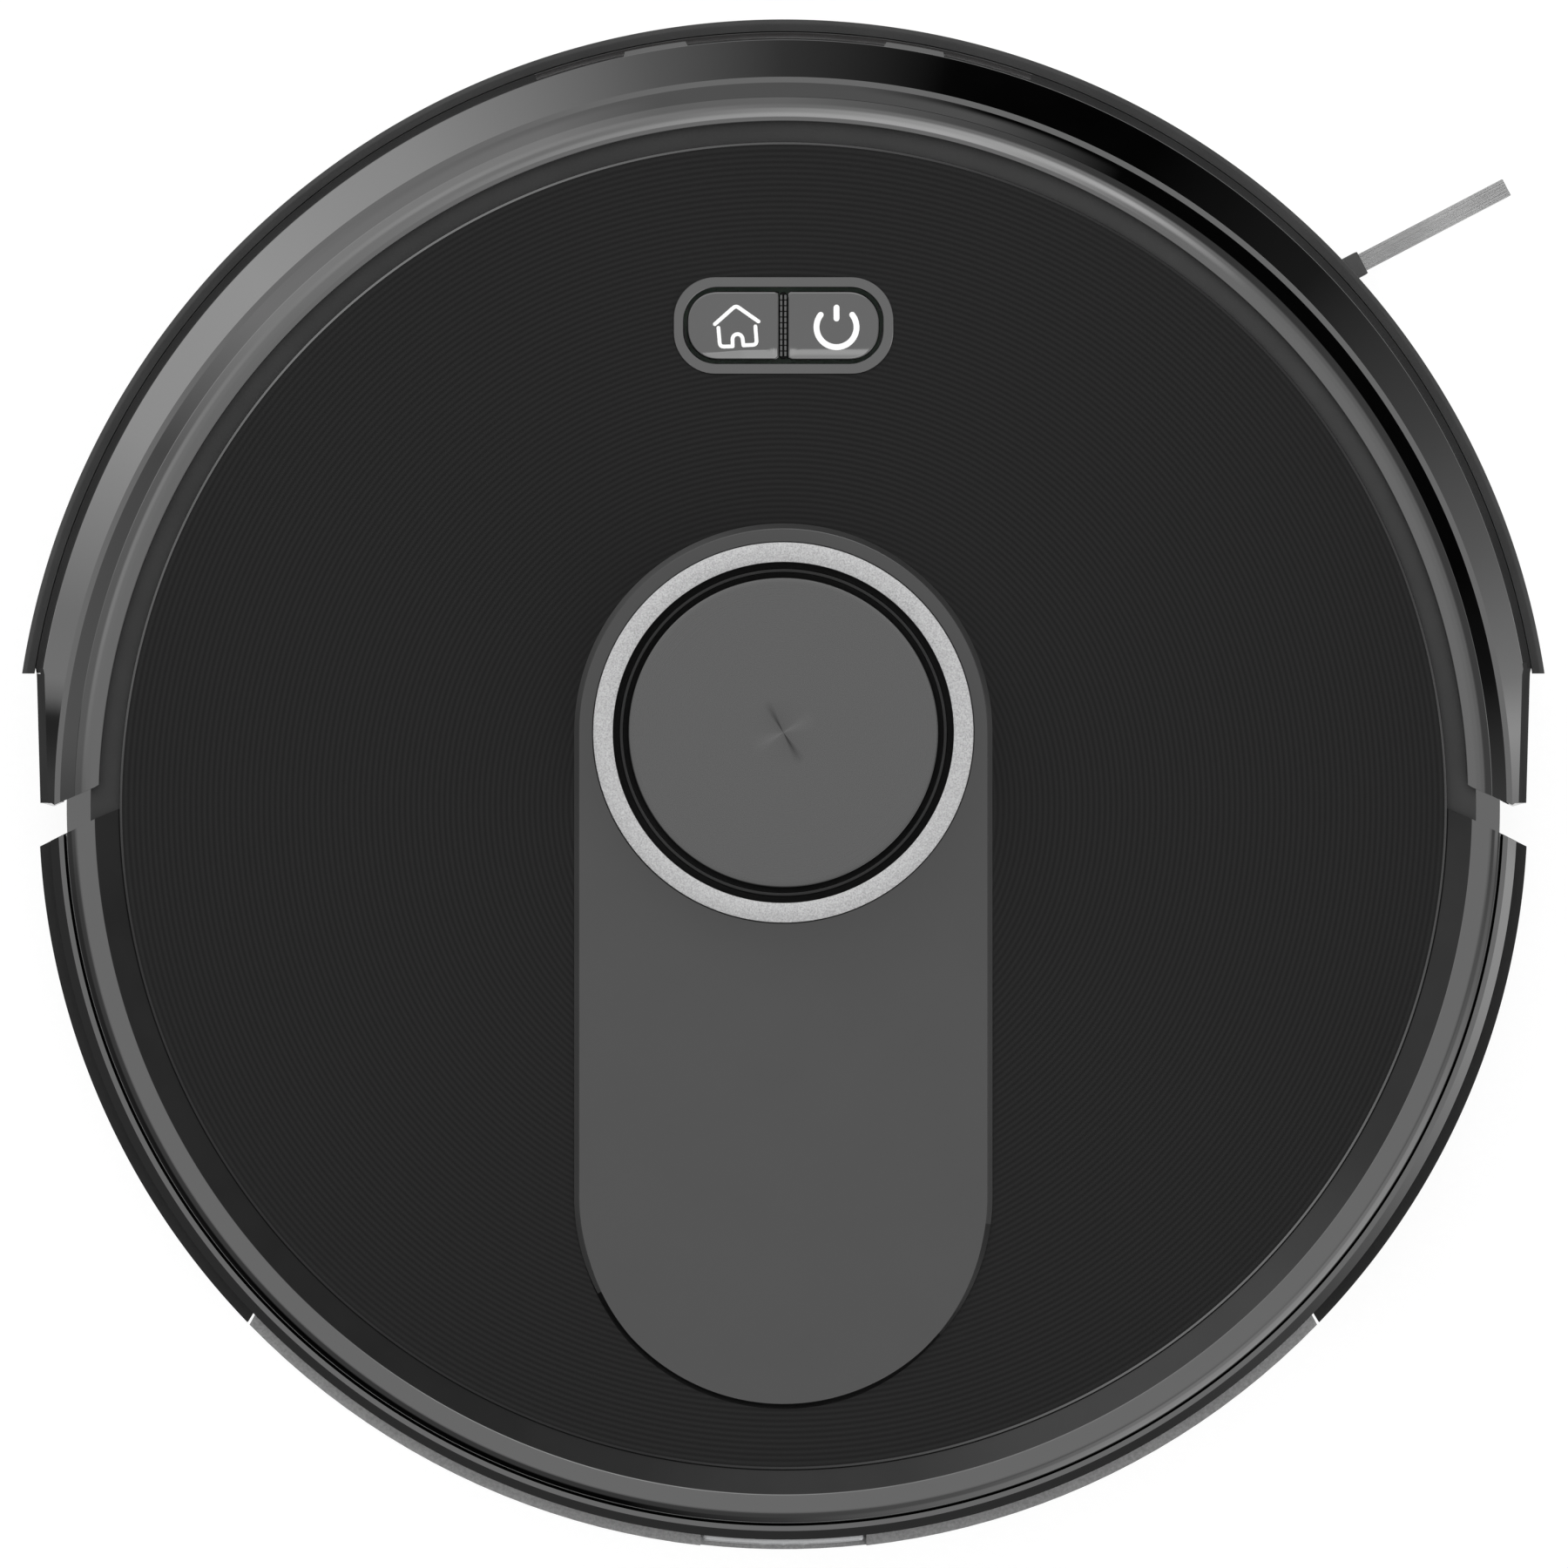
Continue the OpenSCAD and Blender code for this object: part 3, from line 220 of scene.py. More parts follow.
# Name, grey, roughness, specular level, unevenness of the colour, then the texture's grain and
# height in millimetres, and a tint. The polished blacks have the faint haze of moulding.
PLASTICS = {
    "gloss": ("piano_black", 0.0012, 0.045, 1.0, 0.3, 9.0, 0.0),
    "window": ("infrared_window", 0.002, 0.12, 0.7, 0.3, 9.0, 0.0, (1.6, 0.35, 0.4)),
    "satin": ("satin_black", 0.013, 0.34, 0.26, 0.2, 0.35, 0.004),
    "deck_edge": ("deck_edge_grey", 0.031, 0.16, 0.2, 0.05, 0.22, 0.0),
    # A darker copy of the edge grey: painted shade for the deck's edge at the rear right
    "deck_edge_shaded": ("deck_edge_shaded", 0.0165, 0.16, 0.11, 0.05, 0.22, 0.0),
    "deck": ("deck_grey", 0.02, 0.055, 0.5, 0.05, 0.22, 0.0),
    "chassis": ("textured_black", 0.02, 0.48, 0.35, 0.2, 0.45, 0.02),
    # Matte, barely shiny black: the own black of deep inner parts, and painted shade where it lines
    # the gaps round the caps, the turret's cap and the deck
    "recess": ("matte_black_and_shade", 0.003, 0.7, 0.08, 0.3, 0.5, 0.01),
    "flank": ("flank_black", 0.034, 0.6, 0.0, 0.12, 0.4, 0.008),
    "strip": ("strip_rubber", 0.03, 0.62, 0.3, 0.15, 0.35, 0.012),
    "tyre": ("tyre_rubber", 0.018, 0.7, 0.3, 0.25, 0.4, 0.02),
    "hub": ("hub_grey", 0.11, 0.42, 0.4, 0.1, 0.4, 0.01),
    "orange": ("brush_orange", 0.5, 0.38, 0.45, 0.08, 0.5, 0.008, (1.0, 0.22, 0.05)),
    "blade": ("blade_rubber", 0.05, 0.6, 0.3, 0.15, 0.4, 0.012),
    "bristle": ("nylon_bristle", 0.36, 0.38, 0.4, 0.15, 0.3, 0.0),
    "tuft": ("tuft_bristle", 0.06, 0.45, 0.4, 0.3, 0.3, 0.0),
    "white": ("acetal_white", 0.72, 0.4, 0.4, 0.04, 0.5, 0.006, (1, 0.98, 0.93)),
    "icon": ("icon_white", 0.9, 0.5, 0.3, 0.02, 0.4, 0.0),
    "felt": ("filter_felt", 0.7, 0.9, 0.2, 0.08, 0.25, 0.06),
    "wrap": ("battery_wrap", 0.05, 0.25, 0.5, 0.1, 1.5, 0.01, (0.6, 0.85, 1.3)),
    "board": ("solder_mask", 0.09, 0.3, 0.5, 0.15, 0.6, 0.01, (0.25, 1.2, 0.5)),
    "divider": ("divider_grey", 0.006, 0.16, 0.85, 0.1, 0.4, 0.001),
    "edge": ("cover_edge", 0.006, 0.2, 0.9, 0.2, 0.35, 0.001),
    "ridge": ("ridge_black", 0.006, 0.4, 0.24, 0.2, 0.35, 0.002),
    "trough": ("trough_black", 0.022, 0.5, 0.3, 0.15, 0.35, 0.005),
    "slope": ("slope_black", 0.0094, 0.09, 0.25, 0.2, 0.35, 0.001),
    "ledge": ("ledge_black", 0.012, 0.5, 0.2, 0.15, 0.35, 0.005),
    "cap": ("button_black", 0.0012, 0.06, 1.0, 0.3, 9.0, 0.0),
    "arm": ("arm_black", 0.05, 0.5, 0.4, 0.12, 0.4, 0.012),
}
# Name, colour, roughness, the texture's grain and height, and the unevenness of the colour
METALS = {
    "silver": ("blasted_silver", (0.333, 0.333, 0.335), 0.42, 0.34, 0.02, 0.32),
    "steel": ("zinc_steel", (0.55, 0.56, 0.57), 0.3, 0.5, 0.004),
    "contact": ("contact_nickel", (0.68, 0.66, 0.6), 0.22, 0.4, 0.003),
    "brass": ("brass", (0.66, 0.46, 0.17), 0.3, 0.4, 0.004),
    "button": ("release_silver", (0.4, 0.405, 0.41), 0.4, 0.4, 0.01, 0.1),
}
M = {key: plastic(*row) for key, row in PLASTICS.items()}
M.update({key: metal(*row) for key, row in METALS.items()})
M["cover"] = turned("grooved_black", 0.005, 0.42, 0.13, GROOVE)
M["tank"] = speckled("tank_grey", 0.265, 0.38, 0.4, 0.22, 0.7)
M["spun"] = spun("spun_dark", 0.063, 0.26)

# ---- mesh tools


def mesh(name, verts, faces, recalc=True):
    """A mesh from points about the body's axis, with its faces turned outwards."""
    v = np.array(verts, float)
    v[:, 1] += AXIS_Y
    me = bpy.data.meshes.new(name)
    me.from_pydata((v * MM).tolist(), [], faces)
    if recalc:
        bm = bmesh.new()
        bm.from_mesh(me)
        bmesh.ops.recalc_face_normals(bm, faces=bm.faces)
        bm.to_mesh(me)
        bm.free()
    return me


def smooth(me, sharp):
    """Smooth shading, with hard edges where faces meet at more than sharp degrees."""
    me.polygons.foreach_set("use_smooth", [True] * len(me.polygons))
    me.set_sharp_from_angle(angle=radians(sharp))
    me.update()


def add(name, data):
    o = bpy.data.objects.new(name, data)
    scene.collection.objects.link(o)
    return o


def place(name, me, body, replaces=None, sharp=32.0):
    """Puts a mesh into the scene as a piece that rides on a body."""
    smooth(me, sharp)
    o = add(name, me)
    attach(o, body)
    if replaces:
        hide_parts(replaces)
    return o


def paint(me, kinds, pick=None):
    """Sets the materials, which pick(radius, x, y, z) chooses by the faces' centres."""
    for kind in [kinds] if isinstance(kinds, str) else kinds:
        me.materials.append(M[kind])
    if pick:
        for p in me.polygons:
            x, y, z = p.center.x / MM, p.center.y / MM - AXIS_Y, p.center.z / MM
            p.material_index = pick(hypot(x, y), x, y, z)


def solid(name, shape, kinds, body, replaces=None, sharp=32.0, y=0.0, pick=None,
          face_kinds=None, recalc=True):
    """A piece from (points, faces), moved forward by y."""
    verts = np.array(shape[0], float) + (0, y, 0)
    me = mesh(name, verts, shape[1], recalc)
    paint(me, kinds, pick)
    if face_kinds:
        me.polygons.foreach_set("material_index", face_kinds)
    return place(name, me, body, replaces, sharp)


def interp(x, xs, ys):
    return float(np.interp(x, xs, ys))


def turns(n):
    """The n angles of a full turn."""
    return np.linspace(0, 2 * pi, n + 1)[:-1]


def polar(r, a, x=0.0, y=0.0):
    """The point at distance r from (x, y), in direction a (radians)."""
    return x + r * cos(a), y + r * sin(a)


def arc(x, y, r, a0, a1, n=8):
    return [polar(r, radians(a), x, y) for a in np.linspace(a0, a1, n + 1)]


def join(parts):
    """Several (points, faces) as one."""
    verts, faces = [], []
    for v, f in parts:
        base = len(verts)
        verts.extend(map(tuple, v))
        faces.extend([tuple(i + base for i in q) for q in f])
    return verts, faces


def loft(rings, wrap=False, closed=True):
    """Skins rings of points of equal count. wrap: the last ring meets the first, or else both ends
    are capped. closed: each ring closes on itself."""
    n, k = len(rings), len(rings[0])
    verts = [tuple(p) for r in rings for p in r]
    faces = []
    for i in range(n if wrap else n - 1):
        j = (i + 1) % n
        for a in range(k if closed else k - 1):
            b = (a + 1) % k
            faces.append((i * k + a, i * k + b, j * k + b, j * k + a))
    if not wrap:
        faces += [tuple(range(k)), tuple((n - 1) * k + a for a in range(k))[::-1]]
    return verts, faces


def fillet(corners, steps=3, closed=True):
    """Rounds the corners (x, y) or (x, y, radius) of an outline."""
    out, n = [], len(corners)
    for i, c in enumerate(corners):
        b = np.array(c[:2], float)
        r = c[2] if len(c) > 2 else 0
        if not r or (not closed and i in (0, n - 1)):
            out.append(tuple(b))
            continue
        a, d = np.array(corners[i - 1][:2], float), np.array(corners[(i + 1) % n][:2], float)
        u, w = a - b, d - b
        lu, lw = np.linalg.norm(u), np.linalg.norm(w)
        u, w = u / lu, w / lw
        turn = pi - acos(max(-1, min(1, float(u @ w))))
        t = min(r * tan(turn / 2), 0.48 * lu, 0.48 * lw)
        p, q = b + u * t, b + w * t
        for s in np.linspace(0, 1, steps + 1):
            out.append(tuple((1 - s) ** 2 * p + 2 * s * (1 - s) * b + s * s * q))
    return out


def tilted(z, stops):
    """Section points that start at height z and fall outwards, from (radius, tilt in degrees)."""
    out = [(stops[0][0], z)]
    for (r0, t0), (r1, t1) in zip(stops, stops[1:]):
        z -= (r1 - r0) * tan(radians((t0 + t1) / 2))
        out.append((r1, z))
    return out


def spin(section, angles, centre=(0, 0)):
    """The outline of (r, z) at each angle about an upright axis."""
    return [[(*polar(r, a, *centre), z) for r, z in section] for a in angles]


def revolve(section, n, centre=(0, 0)):
    """Turns a closed outline all the way round."""
    return loft(spin(section, turns(n), centre), wrap=True)


def wedge(section, n, a0, a1, centre=(0, 0)):
    """Turns a closed outline from a0 to a1 (degrees), with capped ends."""
    return loft(spin(section, np.radians(np.linspace(a0, a1, n + 1)), centre))


def sweep(section, ends, n, y=0.0):
    """Turns a closed outline about an axis at y, between the angles that ends(r) gives."""
    rings = []
    for t in np.linspace(0, 1, n + 1):
        ring = []
        for r, z in section:
            lo, hi = ends(r)
            ring.append((*polar(r, lo + (hi - lo) * t, 0, y), z))
        rings.append(ring)
    return loft(rings)


def disc(section, n, centre):
    """Turns an open outline that starts and ends on the axis, where fans close it."""
    inner = section[1:-1]
    verts, faces = loft(spin(inner, turns(n), centre), wrap=True, closed=False)
    k = len(inner)
    for end, z in ((0, section[0][1]), (k - 1, section[-1][1])):
        verts.append((*centre, z))
        for i in range(n):
            faces.append((i * k + end, ((i + 1) % n) * k + end, len(verts) - 1))
    return verts, faces


def rounded_rect(x0, x1, y0, y1, radii, steps):
    """Outline of a rectangle with one radius, or its own at each corner: low-low, high-low,
    high-high, low-high."""
    out = []
    corners = ((x0, y0, 1, 1, 180), (x1, y0, -1, 1, 270), (x1, y1, -1, -1, 0), (x0, y1, 1, -1, 90))
    for (cx, cy, sx, sy, a), r in zip(corners, np.broadcast_to(radii, 4)):
        r = max(r, 0.02)
        out += arc(cx + sx * r, cy + sy * r, r, a, a + 90, steps)
    return out


def flat_rect(half_x, half_y, radius, z, steps, x=0.0, y=0.0):
    """A rounded rectangle at height z, about (x, y)."""
    return [(p, q, z) for p, q in rounded_rect(x - half_x, x + half_x, y - half_y, y + half_y,
                                               radius, steps)]


def tube(path, radius, sides):
    """A round tube along points, with one radius or one at each point."""
    p = np.asarray(path, float)
    t = np.gradient(p, axis=0)
    t /= np.linalg.norm(t, axis=1)[:, None]
    n = np.cross(t[0], (0, 0, 1) if abs(t[0][2]) < 0.9 else (1, 0, 0))
    rings = []
    for centre, along, r in zip(p, t, np.broadcast_to(radius, len(p))):
        n = n - along * (n @ along)
        n /= np.linalg.norm(n)
        b = np.cross(along, n)
        rings.append([centre + r * (cos(a) * n + sin(a) * b) for a in turns(sides)])
    return loft(rings)


def refine(name, kind, width):
    """A piece that stands for a CAD node: its own shape, with clean flat faces and its sharp edges
    rounded over width."""
    src = frame["nodes"][name]
    bm = bmesh.new()
    bm.from_mesh(src.data)
    bmesh.ops.remove_doubles(bm, verts=bm.verts, dist=3e-6)
    bmesh.ops.dissolve_limit(bm, angle_limit=radians(0.5), verts=bm.verts, edges=bm.edges)
    if width:
        edges = [e for e in bm.edges if len(e.link_faces) == 2
                 and e.calc_face_angle(0) > radians(30)]
        bmesh.ops.bevel(bm, geom=edges, offset=width * MM, offset_type="OFFSET", segments=2,
                        profile=0.5, affect="EDGES", clamp_overlap=True)
    bmesh.ops.triangulate(bm, faces=[f for f in bm.faces if len(f.verts) > 4])
    me = bpy.data.meshes.new(name + "_body")
    bm.to_mesh(me)
    bm.free()
    paint(me, kind)
    me.polygons.foreach_set("material_index", [0] * len(me.polygons))
    o = place(name + "_piece", me, src["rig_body"], name, sharp=40)
    mod = o.modifiers.new("normals", "WEIGHTED_NORMAL")
    mod.keep_sharp = True
    mod.weight = 50


# ---- bumper

WALL_R, WALL_TOP = 166.1, 69.5  # outer wall's top edge, about the bumper's axis
FLANK_X, FLANK_Y = 164.8, 29.3  # the flat flanks' distance to the side, and where they end
FLANK_LEAN = 0.0278  # sideways lean of the flanks towards the front
SKIN = 2.2  # thickness of the bumper's wall at the flanks
WINDOW = (70.8, 109.2)  # ends of the sensor window, in degrees about the bumper's axis
RECESS = (71, 109)  # ends of its recess in the wall


def shifted(r, a):
    """Distance from the body's axis, in direction a, of the bumper's circle of radius r."""
    return SHIFT * sin(a) + sqrt(r * r - (SHIFT * cos(a)) ** 2)


def flank(a):
    """Distance of the bumper's flat flank, which gives way to the round wall ahead of FLANK_Y."""
    x, y = abs(cos(a)), sin(a)
    line = (FLANK_X - 0.55 * FLANK_LEAN) / max(x - FLANK_LEAN * y, 0.05)
    ahead = (165.6 - FLANK_Y * 0.9) / max(x - 0.9 * y, 0.02)
    return line if line * y < FLANK_Y else max(line, ahead)


def bumper_end(r):
    """Where the bumper's slanted end crosses radius r, as an angle."""
    return asin(interp(r, [151.4, 152.5, 158.6, 162.2, 164.8, 166],
                       [4.8, 4.1, 1.4, -0.2, 0.55, 0.6]) / r)


def wall_at(z):
    """The bumper wall's radius at a height."""
    return interp(z, [14, 20, 38, 50, WALL_TOP, 90], [162.1, 167.2, 168.1, 168.1, WALL_R, WALL_R])


SHOULDER = tilted(RIM_Z, [(152.45, 0), (152.7, 2.2), (153.0, 3.5), (153.4, 4.6), (153.8, 5.8),
    (154.2, 7.6), (154.6, 10.2), (155.0, 13), (155.4, 16.5), (155.8, 19.5), (156.2, 22),
    (156.6, 24), (156.84, 24), (156.9, 24), (156.96, 35), (157.05, 35), (158.3, 35),
    (158.7, 35.5), (159.2, 36.3), (159.7, 37.2), (160.15, 37.8)])
RIDGE_Z = SHOULDER[-1][1]


def cone_z(r):
    """Height of the slope between the ridge and the wall."""
    return RIDGE_Z - (r - 161.4) * tan(radians(30))


def draft(z):
    """How far the flank leans in at a height."""
    return interp(z, [50, WALL_TOP], [0, 1.95])


def make_bumper():
    """The C-shaped shell, as one section swept from end to end."""
    # Rows from the inner lip outwards. b: about the body. c: share of the way from the ridge to the
    # wall's top. w: the wall's top. t: the inner face's top. s: about the bumper, and z and i too,
    # which are the wall's outer and inner face and step back at the window.
    sec = [("b", 151.5, 76.5), ("b", 151.5, 77.8), ("b", 151.56, 77.94), ("b", 151.7, RIM_Z),
           ("b", 151.76, RIM_Z), ("b", 152.4, RIM_Z)]
    sec += [("b", r, z) for r, z in SHOULDER]
    sec += [("b", 161.4, RIDGE_Z)] + [("c", 165.0, share) for share in (0.33, 0.66, 0.93, 0.985)]
    sec += [("w", 165.6, 0), ("s", WALL_R, WALL_TOP)]
    for kind, heights in (("s", (66.2, 66.12)), ("z", (66.1, 60, 52.9)),
                          ("s", (52.88, 52.8, 50.3, 44, 38, 30, 20.6))):
        sec += [(kind, wall_at(z), z) for z in heights]
    low = len(sec) - 1
    sec += [("s", 167.0, 19.6), ("s", 166.4, 18.8), ("s", 162.5, 14.3), ("s", 162.1, 14.0),
            ("s", 159.9, 14.0), ("s", 164.8, 20), ("s", 165.7, 38), ("s", 165.7, 50),
            ("i", 165.0, 52), ("i", 163.6, 67), ("s", 163.7, 69.5), ("t", 165.6, 0),
            ("b", 161.2, RIDGE_Z - 1.7), ("b", 159.2, RIDGE_Z - 1.3), ("b", 157.0, 75.1),
            ("b", 153.4, 76.35)]
    rings = []
    for t in np.linspace(0, 1, 421):
        ring = []
        for kind, r, z in sec:
            a0 = bumper_end(min(r, 166.0))
            a = a0 + (pi - 2 * a0) * t
            if kind == "b":
                ring.append((*polar(r, a), z))
                continue
            top = min(shifted(WALL_R, a), flank(a) - draft(70))
            if kind == "c":
                r = 161.6 + (top - 161.6) * z
                z = cone_z(r)
            elif kind == "w":
                r, z = top, cone_z(top) - 0.12
            elif kind == "t":
                r = min(shifted(163.7, a), flank(a) - SKIN - draft(70))
                z = cone_z(r) - 1.8
            else:
                keep = SKIN if r <= 165.7 and 19 < z < 69.6 else 0.0
                r = min(shifted(r, a), flank(a) - keep - draft(z))
                about = degrees(atan2(sin(a) * 165 - SHIFT, cos(a) * 165))
                if RECESS[0] < about < RECESS[1]:
                    r -= {"z": 2.5, "i": 1.6}.get(kind, 0.0)
            ring.append((*polar(r, a), z))
        rings.append(ring)
    # The flat flanks are matte
    wall = [kind for kind, _, _ in sec].index("w")
    matte = [int(wall - 1 <= i < low and ring[i][1] < 30.4)
             for ring in rings[:-1] for i in range(len(sec))]
    solid("bumper_shell", loft(rings), ["gloss", "flank"], "bumper", "bumper", 26,
          face_kinds=[*matte, 0, 0])


def make_strip():
    sec = fillet([(168.15, 38.0), (169.8, 38.0, 0.5), (170.8, 39.5, 0.8), (170.8, 48.5, 0.8),
                  (169.8, 50.0, 0.5), (168.15, 50.0)], 4)

    def ends(r):
        a = asin((FLANK_Y - SHIFT) / r)
        return a, pi - a
    solid("bumper_strip_rubber", sweep(sec, ends, 360, SHIFT), "strip", "bumper", "bumper_strip",
          40)


def make_window():
    face = [(wall_at(z) - 0.02, z) for z in np.linspace(53.0, 66.0, 6)]
    sec = [(165.6, 53.0), *face, (164.3, 66.0)]
    lens = sweep(sec, lambda r: [radians(a) for a in WINDOW], 120, SHIFT)
    solid("sensor_window_lens", lens, "window", "bumper", "sensor_window", 40)


def make_brows():
    """Two small brows above the window's ends, each a rounded pad with a flat top."""
    parts = []
    for a0, a1 in ((77.6, 82.3), (97.3, 102.3)):
        rings = []
        for t in np.linspace(-1, 1, 33):
            full = sqrt(max(0.0, 1 - max(0.0, (abs(t) - 0.93) / 0.07) ** 2))
            out = 166.0 + 1.15 * full
            sec = [(165.0, 69.2), (out - 0.12 * full, 69.2), (out, 69.08), (out, 67.6),
                   (out - 0.8 * full, 66.6), (165.0, 66.6)]
            rings += spin(sec, [radians((a0 + a1) / 2 + (a1 - a0) / 2 * t)], (0, SHIFT))
        parts.append(loft(rings))
    solid("sensor_brows", join(parts), "gloss", "bumper", "bumper", 30)


# ---- top ring and rear shell


def rear_ends(r):
    """The two angles at which the rear half stops, at the notches behind the bumper's ends."""
    y = interp(r, [146.9, 150, 152.8, 156.7, 159.2, 164.7, 165.2],
               [-0.6, -1.9, -3.1, -5.1, -6.2, -8.9, -9.1])
    e = asin(y / r)
    return pi - e, 2 * pi + e


def make_top_ring():
    trough = revolve(fillet([(141, 72.4), (141, SHELF_Z), (153.4, SHELF_Z), (153.4, 72.4),
                             (157.4, 72.4), (157.4, 70), (150, 70), (150, 72.4)], 1), 360)
    solid("trough_ring", trough, "trough", "body", "top_ring", 40)
    flat = [(153.0, 72.0), (153.0, 73.6), (158.7, 73.6), (158.7, 72.0)]
    beside = [wedge(flat, 12, a0, a1) for a0, a1 in ((-7.2, 1.4), (178.6, 187.2))]
    solid("notch_flats", join(beside), "gloss", "body", "top_ring", 40)
    # The crown: a slope up from the trough, a flat rim, and a rounded fall outwards
    sec = [(146.8, 74.3)]
    sec += [(r, 77.97 - (152.46 - r) * tan(radians(18.5))) for r in (146.8, 150.0, 152.36, 152.46)]
    slope = range(1, len(sec))
    sec += [(152.54, 77.99), (152.62, RIM_Z), (152.7, RIM_Z), (156.05, RIM_Z)]
    sec += tilted(RIM_Z, [(156.12, 0), (156.4, 4), (156.7, 10), (157.0, 17), (157.35, 23),
                          (157.7, 27), (158.1, 30), (158.45, 33), (158.66, 35), (158.72, 35)])
    sec += [(158.95, sec[-1][1] - 0.43), (158.97, 74.2), (158.97, 70.3), (153.2, 70.3),
            (153.2, 74.3)]
    shape = sweep(sec, rear_ends, 420)
    on_slope = [int(len(q) == 4 and all(i % len(sec) in slope for i in q)) for q in shape[1]]
    solid("rear_crown", shape, ["gloss", "slope"], "body", "top_ring", 24,
          face_kinds=on_slope)


def make_rear_shell():
    """The outer wall of the rear half on both sides of the tank, and the band above them."""
    band = [(157.9, 59.9), (162.5, 59.9), (162.5, 73.8), (160.6, 75.6), (159.5, 75.6),
            (159.45, 75.55), (159.45, 69.6), (157.9, 69.6)]
    wall = fillet([(157.9, 13), (159.5, 13, 0.3), (165, 24, 3), (165, 60, 0.22), (162.4, 60),
                   (162.4, 61), (157.9, 61)], 4)

    def tank_side(r):
        return radians(interp(r, [157.9, 165], [316.75, 316.05]))
    parts = [sweep(band, rear_ends, 420),
             sweep(wall, lambda r: (tank_side(r), rear_ends(r)[1]), 100),
             sweep(wall, lambda r: (rear_ends(r)[0], 3 * pi - tank_side(r)), 100)]
    shell = solid("rear_shell_wall", join(parts), ["gloss", "ledge", "recess"], "body",
                  "rear_shell", 30,
                  pick=lambda r, x, y, z: 1 if z < 60.3 else 2 if r < 159.43 else 0)
    # Exhaust slots, cut through both flanks
    prof = arc(0, 48.8, 1.2, 0, 180) + arc(0, 31.2, 1.2, 180, 360)
    cuts = []
    for side in (1, -1):
        for i in range(7):
            x, y = polar(1, radians(343 - 3 * i))
            x *= side
            cuts.append(loft([[(x * r - y * p, y * r + x * p, q) for p, q in prof]
                              for r in (155.0, 168.0)]))
    cutter = add("slot_cutter", mesh("slot_cutter", *join(cuts)))
    mod = shell.modifiers.new("slots", "BOOLEAN")
    mod.operation = "DIFFERENCE"
    mod.object = cutter
    mod.solver = "EXACT"
    mod.use_self = True
    graph = bpy.context.evaluated_depsgraph_get()
    made = bpy.data.meshes.new_from_object(shell.evaluated_get(graph))
    shell.modifiers.remove(mod)
    shell.data = made
    smooth(made, 30)
    bpy.data.objects.remove(cutter)


# ---- cover and deck

BEZEL = (48.7, 21.6, 9.3)  # the button bezel's length, depth and corner radius
DECK_R = 46.3  # radius of the deck panel's round ends
DECK_LEN = 102.8  # between the centres of its two ends
DECK_Z = 78.8
REAR_Y = TURRET_Y - DECK_LEN


def cover_z(r):
    """Height of the cover's face, which falls a little towards its rim."""
    return COVER_Z - 0.5 * max(0.0, (r - 95) / 51) ** 2


def make_cover():
    """The round cover: fine rings turned into its face, with a plain bevel at its rim. It is open
    under the deck and the bezel."""
    n = 400
    levels = [(40.6, cover_z(40.6))]
    r = 41.25
    while r < 145.4:
        levels += [(r, cover_z(r) - 0.035), (r + GROOVE / 2, cover_z(r + GROOVE / 2))]
        r += GROOVE
    levels += [(r, cover_z(r) - drop) for r, drop in ((146.42, 0.0), (146.9, 0.21), (146.96, 0.3))]
    levels.append((146.96, SHELF_Z))
    v = np.array([(*polar(r, a), z) for r, z in levels for a in turns(n)])
    deck = np.hypot(v[:, 0], v[:, 1] - np.clip(v[:, 1], REAR_Y, TURRET_Y)) < 44.0
    length, depth, corner = BEZEL
    past = np.abs(v[:, :2] - (0, BUTTON_Y)) - (length / 2 - corner, depth / 2 - corner)
    bezel = np.hypot(*np.maximum(past, 0).T) < corner - 1.2
    gone = deck | bezel
    faces = []
    for i in range(len(levels) - 1):
        for k in range(n):
            m = (k + 1) % n
            q = (i * n + k, i * n + m, (i + 1) * n + m, (i + 1) * n + k)
            if not all(gone[j] for j in q):
                faces.append(q)
    used = sorted({j for q in faces for j in q})
    index = {j: i for i, j in enumerate(used)}
    shape = v[used], [tuple(index[j] for j in q) for q in faces]
    solid("grooved_cover", shape, ["cover", "edge"], "body", "top_cover", 20,
          recalc=False, pick=lambda r, x, y, z: int(r > 146.5))


def steep(deg):
    """How steep the deck's edge is, from 0 to 1. It is steep round its rear end only."""
    return interp(deg, [198, 222, 312, 348], [0, 1, 1, 0])


